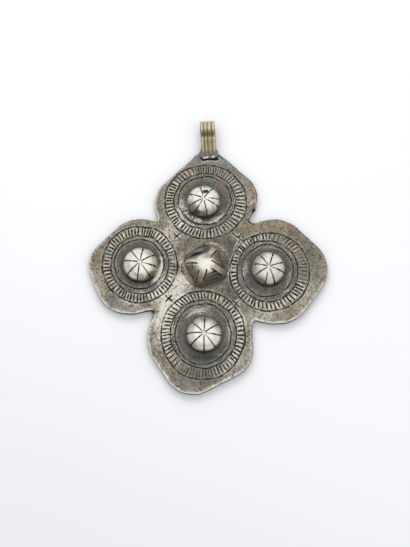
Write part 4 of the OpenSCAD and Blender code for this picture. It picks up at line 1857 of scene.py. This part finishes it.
@dataclass
class Solder:
    """The lumpy run of solder round the foot of the bail, with painted shadow under its outer edge.

    A lip is a stretch of its crest with a painted highlight: a place across, half its width and its
    brightness.
    """

    bail: Bail
    base_z: float = 1.58
    sides: int = 14
    step: float = 0.16
    half_wide: float = 0.62
    half_high: float = 0.5
    highlight_lips: tuple[tuple[float, float, float], ...] = ((-0.85, 0.8, 1.0), (1.1, 0.6, 0.7))
    route: tuple[Place, ...] = (
        (-2.05, 1.1), (-2.2, 0.2), (-2.3, -0.6), (-1.85, -1.2), (-1.0, -1.4), (-0.3, -1.12),
        (0.4, -1.4), (1.2, -1.3), (1.95, -1.25), (2.25, -0.6), (2.15, 0.2), (2.0, 1.1),
    )

    def build(self) -> bpy.types.Object:
        """Sweeps an uneven oval along the route.

        Returns:
            The piece.
        """
        path = curve_through(self.route, self.step)
        way = directions(path)
        side = np.column_stack([-way[:, 1], way[:, 0]])
        draft = MeshDraft()
        rings = []
        turns = np.arange(self.sides) * FULL_TURN / self.sides
        to_end = np.minimum(np.arange(len(path)), np.arange(len(path))[::-1]) * self.step
        for k, (spot, across) in enumerate(zip(path, side)):
            taper = 0.25 + 0.75 * float(ease(to_end[k], 0.0, 2.2))
            wide = self.half_wide * taper * (1 + 0.9 * ripple_at(spot, 0.8, 51.0))
            high = self.half_high * taper * (1 + 0.8 * ripple_at(spot, 1.2, 52.0))
            flat = spot + across * wide * np.cos(turns)[:, None]
            points = at_height(flat, self.base_z + high * np.sin(turns))
            points[:, 2] += 0.09 * ripple(points, 0.5, 53.0)
            crest = ease(np.sin(turns), 0.35, 0.9)
            run = float(spot[1] < -0.7)
            lip = max(bright * (1 - float(ease(abs(spot[0] - x), 0.5 * half, half)))
                      for x, half, bright in self.highlight_lips)
            # Painted shadow on the outer, lower flank of the run in front of the foot.
            outer = ease(-np.cos(turns) * np.sign(across[1]), 0.45, 0.9) * (np.sin(turns) < 0.75)
            marks = {Mark.WORN: crest * (0.2 + run * lip), Mark.CUT: outer * run}
            rings.append(draft.add(self.bail.place(points), marks))
        for low, high in zip(rings, rings[1:]):
            draft.bridge(low, high)
        for ring, spot, flip in ((rings[0], path[0], True), (rings[-1], path[-1], False)):
            hub = draft.add(self.bail.place(np.array([[*spot, self.base_z]])))
            draft.fan(ring[::-1] if flip else ring, hub[0])
        return draft.build("bail_solder", 80.0)


@dataclass(frozen=True)
class Value:
    """A number that varies over a surface: the output of a shader node."""

    graph: "Graph"
    socket: bpy.types.NodeSocket

    def __add__(self, other: "Value | float") -> "Value":
        """Sum."""
        return self.graph.math("ADD", self, other)

    def __radd__(self, other: float) -> "Value":
        """Sum with a plain number on the left."""
        return self.graph.math("ADD", other, self)

    def __sub__(self, other: "Value | float") -> "Value":
        """Difference."""
        return self.graph.math("SUBTRACT", self, other)

    def __rsub__(self, other: float) -> "Value":
        """Difference with a plain number on the left."""
        return self.graph.math("SUBTRACT", other, self)

    def __mul__(self, other: "Value | float") -> "Value":
        """Product."""
        return self.graph.math("MULTIPLY", self, other)

    def __rmul__(self, other: float) -> "Value":
        """Product with a plain number on the left."""
        return self.graph.math("MULTIPLY", other, self)

    def eased(self, low: float, high: float) -> "Value":
        """Rises smoothly from 0 to 1 as the value goes from low to high.

        Args:
            low: the value at which it leaves 0.
            high: the value at which it reaches 1.

        Returns:
            The eased value.
        """
        node = self.graph.node(
            "ShaderNodeMapRange",
            {"interpolation_type": "SMOOTHSTEP"},
            {"Value": self, "From Min": low, "From Max": high},
        )
        return Value(self.graph, node.outputs["Result"])

    def held(self) -> "Value":
        """The value kept between 0 and 1."""
        return self.graph.math("MINIMUM", self.graph.math("MAXIMUM", self, 0.0), 1.0)


Input = Value | bpy.types.NodeSocket | float | Colour | tuple
Inputs = dict[str | int, Input]


class Graph:
    """A tree of shader nodes that is built by calls."""

    def __init__(self, tree: bpy.types.NodeTree) -> None:
        """Empties the tree."""
        self.tree = tree
        self.tree.nodes.clear()

    def node(
        self, kind: str, settings: Setting | None = None, inputs: Inputs | None = None
    ) -> bpy.types.Node:
        """Adds one node.

        Args:
            kind: the node's type.
            settings: its own settings, such as an operation; they are set first.
            inputs: a value or a link for each socket, by name or number.

        Returns:
            The node.
        """
        made = self.tree.nodes.new(kind)
        for name, value in (settings or {}).items():
            setattr(made, name, value)
        for key, value in (inputs or {}).items():
            socket = made.inputs[key]
            if isinstance(value, Value):
                self.tree.links.new(value.socket, socket)
            elif isinstance(value, bpy.types.NodeSocket):
                self.tree.links.new(value, socket)
            elif isinstance(value, tuple) and socket.type == "RGBA":
                socket.default_value = (*value, 1.0)
            else:
                socket.default_value = value
        return made

    def math(self, operation: str, one: Value | float, other: Value | float) -> Value:
        """Adds a Math node."""
        node = self.node("ShaderNodeMath", {"operation": operation}, {0: one, 1: other})
        return Value(self, node.outputs[0])

    def blend(self, one: Input, other: Input, share: Value, mode: str = "MIX") -> bpy.types.NodeSocket:
        """Mixes two colours.

        Args:
            one: the colour at a share of 0.
            other: the colour at a share of 1.
            share: how much of the second colour shows.
            mode: how they are mixed.

        Returns:
            The mixed colour.
        """
        node = self.node(
            "ShaderNodeMix",
            {"data_type": "RGBA", "blend_type": mode, "clamp_factor": True},
            {0: share, 6: one, 7: other},
        )
        return node.outputs[2]

    def place(self, stretch: tuple[float, float, float] = (1.0, 1.0, 1.0)) -> bpy.types.NodeSocket:
        """Place on the object in millimetres, drawn out along each axis by a factor.

        Args:
            stretch: the factor for each axis.

        Returns:
            The link to the place.
        """
        where = self.node("ShaderNodeTexCoord").outputs["Object"]
        factors = tuple(s / MM for s in stretch)
        node = self.node("ShaderNodeVectorMath", {"operation": "MULTIPLY"}, {0: where, 1: factors})
        return node.outputs[0]

    def along(self, way: tuple[float, float, float]) -> Value:
        """Distance in millimetres from the origin along a direction."""
        node = self.node("ShaderNodeVectorMath", {"operation": "DOT_PRODUCT"}, {0: self.place(), 1: way})
        return Value(self, node.outputs["Value"])

    def cloud(
        self, size: float, detail: float = 3.0, rough: float = 0.55,
        stretch: tuple[float, float, float] = (1.0, 1.0, 1.0), twist: float = 0.0,
    ) -> Value:
        """Soft random pattern.

        Args:
            size: the usual size of a patch in millimetres.
            detail: how many finer layers lie over it.
            rough: how strong the finer layers are.
            stretch: factor along each axis; a small one makes streaks along it.
            twist: how much the pattern is swirled.

        Returns:
            A value round 0.5.
        """
        node = self.node(
            "ShaderNodeTexNoise",
            {"noise_dimensions": "3D"},
            {"Vector": self.place(stretch), "Scale": 1 / size, "Detail": detail,
             "Roughness": rough, "Distortion": twist},
        )
        return Value(self, node.outputs[0])

    def pits(self, size: float) -> Value:
        """Distance to the nearest of many scattered points.

        Args:
            size: the usual distance between two points in millimetres.

        Returns:
            The distance, as a share of size.
        """
        node = self.node(
            "ShaderNodeTexVoronoi", {"feature": "F1"}, {"Vector": self.place(), "Scale": 1 / size}
        )
        return Value(self, node.outputs["Distance"])

    def mark(self, mark: Mark) -> Value:
        """One of the marks kept at the mesh's points."""
        node = self.node("ShaderNodeAttribute", {"attribute_name": mark.value})
        return Value(self, node.outputs["Fac"])

    def relief(self, height: Value, depth: float, strength: float = 1.0) -> bpy.types.NodeSocket:
        """Fine relief: depth is in millimetres."""
        sockets = {"Strength": strength, "Distance": depth * MM, "Height": height}
        return self.node("ShaderNodeBump", {}, sockets).outputs["Normal"]

    def finish(self, inputs: Inputs) -> None:
        """Ends the tree in a Principled surface.

        Args:
            inputs: the values and links of its sockets.
        """
        surface = self.node("ShaderNodeBsdfPrincipled", {}, inputs)
        output = self.node("ShaderNodeOutputMaterial")
        self.tree.links.new(surface.outputs["BSDF"], output.inputs["Surface"])


@dataclass(frozen=True)
class Finish:
    """A finish of the metal or of the table; each kind works out its own surface."""

    name: str

    def surface(self, graph: Graph) -> Inputs:
        """Works out the surface.

        Args:
            graph: the material's tree.

        Returns:
            The values and links of its sockets.
        """
        raise NotImplementedError

    def material(self) -> bpy.types.Material:
        """Builds the material.

        Returns:
            The material.
        """
        made = bpy.data.materials.new(self.name)
        made.use_nodes = True
        graph = Graph(made.node_tree)
        graph.finish(self.surface(graph))
        return made


@dataclass(frozen=True)
class AgedSilver(Finish):
    """Hand-worked silver gone dull: brown and grey patches, dark cuts, lighter worn edges; the dark of the
    cuts also paints shadow, and the worn colour also paints highlights.
    """

    name: str = "silver_aged"
    light: Colour = (0.445, 0.396, 0.308)
    middle: Colour = (0.18, 0.158, 0.12)
    cool: Colour = (0.235, 0.238, 0.222)
    brown: Colour = (0.175, 0.138, 0.093)
    pit: Colour = (0.085, 0.073, 0.052)
    tarnish: Colour = (0.128, 0.138, 0.13)
    deep: Colour = (0.05, 0.053, 0.05)
    worn: Colour = (0.88, 0.84, 0.74)
    copper: Colour = (0.38, 0.235, 0.13)
    film: Colour = (0.15, 0.16, 0.163)
    film_light: Colour = (0.33, 0.34, 0.33)
    cut: Colour = (0.03, 0.03, 0.024)
    scuffed: Colour = (0.5, 0.49, 0.46)
    sheen: float = 0.2

    def surface(self, graph: Graph) -> Inputs:
        """Works out the surface.

        Args:
            graph: the material's tree.

        Returns:
            The values and links of its sockets.
        """
        broad, mottle = graph.cloud(7.0, 3.0), graph.cloud(1.9, 4.0, 0.62, twist=0.4)
        wide, blotch = broad.eased(0.38, 0.62), mottle.eased(0.38, 0.62)
        speck = graph.cloud(0.66, 3.0, 0.6).eased(0.36, 0.64)
        grain = graph.cloud(0.46, 2.0, 0.55).eased(0.38, 0.62)
        hue = graph.cloud(2.9, 4.0, 0.6, twist=0.8)
        streak = graph.cloud(1.1, 4.0, 0.6, stretch=(1.0, 0.16, 1.0))
        cross_streak = graph.cloud(1.0, 4.0, 0.6, stretch=(0.2, 1.0, 1.0))
        tarnish = (graph.mark(Mark.TARNISH) * (0.5 + 0.7 * blotch)).held()
        worn = (graph.mark(Mark.WORN) * (0.34 + 0.35 * speck + 0.5 * grain + 0.2 * blotch)).held()
        tone = (0.25 * wide + 0.16 * blotch + 0.24 * speck + 0.28 * grain
                + 0.22 * (streak - 0.5).eased(-0.1, 0.1) - 0.06)
        colour = graph.blend(self.middle, self.light, tone)
        colour = graph.blend(colour, self.cool, (1 - hue).eased(0.5, 0.62) * 0.45)
        colour = graph.blend(colour, self.brown, hue.eased(0.5, 0.62) * 0.6 * (1 - 0.7 * tarnish))
        shade = graph.blend(self.deep, self.tarnish, 0.3 + 0.4 * speck + 0.3 * blotch)
        colour = graph.blend(colour, shade, tarnish * 0.9)
        scuff = ((streak - 0.5) * (cross_streak - 0.5) * 14 + 0.5).held()
        colour = graph.blend(colour, self.scuffed, scuff.eased(0.6, 0.95) * 0.3, "SOFT_LIGHT")
        # The worn colour also paints highlights.
        colour = graph.blend(colour, self.worn, worn * 0.78)
        copper = (graph.mark(Mark.COPPER) * (0.3 + 0.5 * blotch + 0.5 * speck)).held()
        colour = graph.blend(colour, self.copper, copper * 0.7)
        pit = ((1 - grain) * (1.2 - speck)).eased(0.3, 0.85) * 0.6
        dot = (1 - graph.pits(1.3).eased(0.08, 0.28)) * 0.25
        colour = graph.blend(colour, self.pit, graph.math("MAXIMUM", pit, dot) * (1 - 0.75 * worn))
        film = graph.blend(self.film, self.film_light, 0.5 * speck + 0.5 * blotch)
        filmed = (graph.mark(Mark.FILM) * (0.55 + 0.6 * blotch)).held() * (1 - 0.75 * worn)
        colour = graph.blend(colour, film, filmed)
        # The cut colour blackens the engraving and also paints shadow.
        cut = (graph.mark(Mark.CUT) * (0.6 + 0.8 * speck)).held()
        colour = graph.blend(colour, self.cut, cut.eased(0.05, 0.6))
        rough = (0.42 + 0.12 * speck + 0.14 * tarnish - 0.1 * worn + 0.25 * cut).held()
        metal = (1.0 - 0.35 * tarnish - 0.75 * cut).held()
        height = 0.5 * mottle + 0.08 * speck + 0.05 * grain + 0.1 * streak
        return {
            "Base Color": colour,
            "Roughness": rough,
            "Metallic": metal,
            "Specular IOR Level": self.sheen,
            "Normal": graph.relief(height, 0.16, 0.8),
        }


@dataclass(frozen=True)
class PolishedSilver(Finish):
    """Silver rubbed bright by wear and painted highlight, with dark lines, dirt round the foot and painted
    shade and shadow on the low side.
    """

    name: str = "silver_polished"
    bright: Colour = (0.965, 0.93, 0.835)
    soft: Colour = (0.7, 0.665, 0.57)
    tarnish: Colour = (0.095, 0.08, 0.06)
    slate: Colour = (0.1, 0.1, 0.088)
    film: Colour = (0.13, 0.138, 0.13)
    copper: Colour = (0.32, 0.23, 0.13)
    cut: Colour = (0.02, 0.016, 0.012)
    sheen: float = 0.15

    def surface(self, graph: Graph) -> Inputs:
        """Works out the surface.

        Args:
            graph: the material's tree.

        Returns:
            The values and links of its sockets.
        """
        broad, mottle = graph.cloud(2.6, 3.0), graph.cloud(0.9, 4.0, 0.6)
        speck = graph.cloud(0.3, 3.0, 0.6)
        streak = graph.cloud(0.7, 3.0, 0.6, stretch=(1.0, 0.2, 1.0))
        worn = graph.mark(Mark.WORN)
        tone = (0.4 * worn + 0.35 * mottle.eased(0.36, 0.64) + 0.25 * speck.eased(0.36, 0.64)
                + 0.5 * (broad - 0.5) + 0.2).held()
        colour = graph.blend(self.soft, self.bright, tone)
        tarnish = (graph.mark(Mark.TARNISH) * (0.45 + 1.1 * mottle)).held()
        shade = graph.blend(self.tarnish, self.slate, broad.eased(0.42, 0.58))
        film = (graph.mark(Mark.FILM) * (0.45 + mottle)).held()
        colour = graph.blend(colour, self.film, film * 0.9)
        colour = graph.blend(colour, shade, tarnish * 0.95)
        copper = (graph.mark(Mark.COPPER) * (0.4 + speck)).held()
        colour = graph.blend(colour, self.copper, copper * 0.8)
        colour = graph.blend(colour, self.tarnish, speck.eased(0.62, 0.74) * 0.35)
        # The cut colour darkens the lines and also paints shadow under the heads and in the slot.
        cut = graph.mark(Mark.CUT)
        colour = graph.blend(colour, self.cut, cut.eased(0.05, 0.5))
        rough = (0.24 + 0.16 * speck + 0.1 * streak + 0.2 * tarnish + 0.3 * cut).held()
        metal = (0.9 - 0.25 * tarnish - 0.85 * cut).held()
        height = 0.45 * mottle + 0.25 * speck + 0.2 * streak
        return {
            "Base Color": colour,
            "Roughness": rough,
            "Metallic": metal,
            "Specular IOR Level": self.sheen,
            "Normal": graph.relief(height, 0.09, 0.7),
        }


@dataclass(frozen=True)
class YellowedAlloy(Finish):
    """The bail's lower silver: yellowish, with olive grime between the ribs and, in the same colour, painted
    shade in the crease under the eye.
    """

    name: str = "silver_yellowed"
    bright: Colour = (0.72, 0.68, 0.53)
    soft: Colour = (0.36, 0.298, 0.175)
    grime: Colour = (0.17, 0.132, 0.058)
    grey: Colour = (0.2, 0.2, 0.18)

    def surface(self, graph: Graph) -> Inputs:
        """Works out the surface.

        Args:
            graph: the material's tree.

        Returns:
            The values and links of its sockets.
        """
        mottle, speck = graph.cloud(1.3, 4.0, 0.6), graph.cloud(0.35, 3.0, 0.6)
        streak = graph.cloud(0.5, 3.0, 0.6, stretch=(1.0, 0.15, 0.6))
        worn = graph.mark(Mark.WORN)
        tone = (worn * 0.9 + 0.6 * (mottle - 0.5) + 0.3 * (streak - 0.5)).held()
        colour = graph.blend(self.soft, self.bright, tone)
        tarnish = (graph.mark(Mark.TARNISH) * (0.4 + 1.1 * mottle)).held()
        colour = graph.blend(colour, self.grey, tarnish * 0.85)
        cut = graph.mark(Mark.CUT)
        colour = graph.blend(colour, self.grime, (cut * (0.6 + 0.7 * speck)).held())
        rough = (0.36 + 0.18 * speck + 0.2 * tarnish + 0.1 * streak).held()
        metal = (1.0 - 0.3 * tarnish - 0.25 * cut).held()
        height = 0.4 * mottle + 0.3 * speck + 0.3 * streak
        return {
            "Base Color": colour,
            "Roughness": rough,
            "Metallic": metal,
            "Normal": graph.relief(height, 0.07, 0.7),
        }


@dataclass(frozen=True)
class GreySolder(Finish):
    """Old solder: blue-grey, a little brighter on its crest, with painted highlights on the lips and painted
    shadow in black.
    """

    name: str = "solder_grey"
    low: Colour = (0.13, 0.138, 0.138)
    crest: Colour = (0.66, 0.66, 0.61)
    painted_shadow: Colour = (0.02, 0.02, 0.018)

    def surface(self, graph: Graph) -> Inputs:
        """Works out the surface.

        Args:
            graph: the material's tree.

        Returns:
            The values and links of its sockets.
        """
        mottle, speck = graph.cloud(0.8, 4.0, 0.6), graph.cloud(0.25, 3.0, 0.6)
        tone = (graph.mark(Mark.WORN) * (0.3 + 1.1 * mottle) + 0.3 * (speck - 0.5)).held()
        colour = graph.blend(self.low, self.crest, tone)
        colour = graph.blend(colour, self.painted_shadow, graph.mark(Mark.CUT).eased(0.1, 0.7))
        height = 0.6 * mottle + 0.4 * speck
        return {
            "Base Color": colour,
            "Roughness": (0.36 + 0.25 * speck).held(),
            "Metallic": 0.9,
            "Normal": graph.relief(height, 0.14, 0.8),
        }


@dataclass(frozen=True)
class PaleTable(Finish):
    """The pale matt table that the pendant lies on, with painted shade that darkens it towards the lower
    left.
    """

    name: str = "table_pale"
    tone: Colour = (0.79, 0.797, 0.817)
    shade: Colour = (0.725, 0.733, 0.757)
    shade_side: tuple[float, float, float] = (-0.5, -0.87, 0.0)

    def surface(self, graph: Graph) -> Inputs:
        """Works out the surface.

        Args:
            graph: the material's tree.

        Returns:
            The values and links of its sockets.
        """
        # Painted shade: the table darkens towards the lower left.
        painted_shade_ramp = graph.along(self.shade_side) + 12.0 * graph.cloud(60.0, 2.0)
        colour = graph.blend(self.tone, self.shade, painted_shade_ramp.eased(8.0, 95.0))
        return {"Base Color": colour, "Roughness": 0.75, "Specular IOR Level": 0.2}


@dataclass(frozen=True)
class Softbox:
    """One large soft light: where it is, its sides, its power and its colour."""

    name: str
    place: tuple[float, float, float]
    sides: tuple[float, float]
    power: float
    colour: Colour = (1.0, 1.0, 1.0)
    mirrored: bool = False

    def build(self) -> bpy.types.Object:
        """Makes the light, aimed at the pendant.

        Returns:
            The light.
        """
        lamp = bpy.data.lights.new(self.name, "AREA")
        lamp.shape = "RECTANGLE"
        lamp.size, lamp.size_y = self.sides
        lamp.energy = self.power
        lamp.color = self.colour
        holder = bpy.data.objects.new(self.name, lamp)
        holder.location = self.place
        holder.visible_glossy = self.mirrored
        holder.rotation_mode = "QUATERNION"
        holder.rotation_quaternion = (-Vector(self.place)).to_track_quat("-Z", "Y")
        bpy.context.scene.collection.objects.link(holder)
        return holder


@dataclass
class Studio:
    """Table, lights, sky and the photograph's camera, in metres."""

    table_half: float = 1.5
    table_z: float = -0.00002
    boxes: tuple[Softbox, ...] = (
        Softbox("light_key", (-0.06, 0.56, 0.35), (0.7, 0.3), 2.8, (1.0, 0.985, 0.955)),
    )
    sky_bright: Colour = (0.99, 0.993, 1.0)
    sky_dim: Colour = (0.12, 0.122, 0.126)
    sky_side: tuple[float, float, float] = (0.05, 0.07, 0.993)
    sky_power: float = 1.02
    camera_place: tuple[float, float, float] = (-0.0003312, -0.0692895, 0.3496649)
    camera_tilt: float = 11.0
    lens: float = 85.0
    sensor: float = 36.0

    def build(self) -> None:
        """Builds everything round the pendant."""
        self._table()
        for box in self.boxes:
            box.build()
        self._sky()
        self._camera()
        bpy.context.scene.view_settings.view_transform = "Standard"

    def _table(self) -> None:
        """The pale surface."""
        draft = MeshDraft()
        half = self.table_half / MM
        square = np.array([(-half, -half), (half, -half), (half, half), (-half, half)])
        draft.faces.append(draft.add(at_height(square, self.table_z / MM)))
        table = draft.build("table")
        table.data.materials.append(PaleTable().material())

    def _sky(self) -> None:
        """Soft light from above that falls off towards the horizon."""
        world = bpy.data.worlds.new("studio")
        bpy.context.scene.world = world
        world.use_nodes = True
        graph = Graph(world.node_tree)
        way = graph.node("ShaderNodeTexCoord").outputs["Generated"]
        side = Vector(self.sky_side).normalized()
        node = graph.node("ShaderNodeVectorMath", {"operation": "DOT_PRODUCT"}, {0: way, 1: tuple(side)})
        share = Value(graph, node.outputs["Value"]).eased(-0.02, 0.48)
        colour = graph.blend(self.sky_dim, self.sky_bright, share)
        back = graph.node("ShaderNodeBackground", {}, {"Color": colour, "Strength": self.sky_power})
        output = graph.node("ShaderNodeOutputWorld")
        graph.tree.links.new(back.outputs["Background"], output.inputs["Surface"])

    def _camera(self) -> None:
        """The camera, at the photograph's angle."""
        data = bpy.data.cameras.new("camera")
        data.lens = self.lens
        data.sensor_width = self.sensor
        data.clip_start = 0.01
        camera = bpy.data.objects.new("camera", data)
        camera.location = self.camera_place
        camera.rotation_euler = (math.radians(self.camera_tilt), 0.0, 0.0)
        bpy.context.scene.collection.objects.link(camera)
        bpy.context.scene.camera = camera


class Pendant:
    """The whole pendant: builds each piece, dresses it and seats it on the frame."""

    def __init__(self) -> None:
        """Makes the finishes."""
        self.aged = AgedSilver().material()
        self.polished = PolishedSilver().material()
        self.yellowed = YellowedAlloy().material()
        self.solder = GreySolder().material()

    def seat(
        self, piece: bpy.types.Object, node: str, finish: bpy.types.Material
    ) -> None:
        """Gives a piece its finish and its place in the frame.

        Args:
            piece: the piece.
            node: the frame's node that it stands for.
            finish: its material.
        """
        piece.data.materials.append(finish)
        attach(piece, BODY)
        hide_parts(node)
        LOG.info("%s: %d faces, stands for %s", piece.name, len(piece.data.polygons), node)

    def build(self) -> None:
        """Builds the pieces in order."""
        bail = Bail()
        self.seat(Plate().build(), "plate_with_bail", self.aged)
        self.seat(bail.build(), "plate_with_bail", self.yellowed)
        self.seat(Solder(bail).build(), "plate_with_bail", self.solder)
        for lobe in LOBES:
            self.seat(DomedHead(lobe).build(), f"boss_{lobe.name}", self.polished)
        self.seat(CentreBoss().build(), "boss_centre", self.polished)


def main() -> None:
    """Builds the pendant and the studio."""
    logging.basicConfig(level=logging.INFO, format="%(name)s: %(message)s")
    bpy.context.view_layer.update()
    Pendant().build()
    Studio().build()


if __name__ == "__main__":
    main()
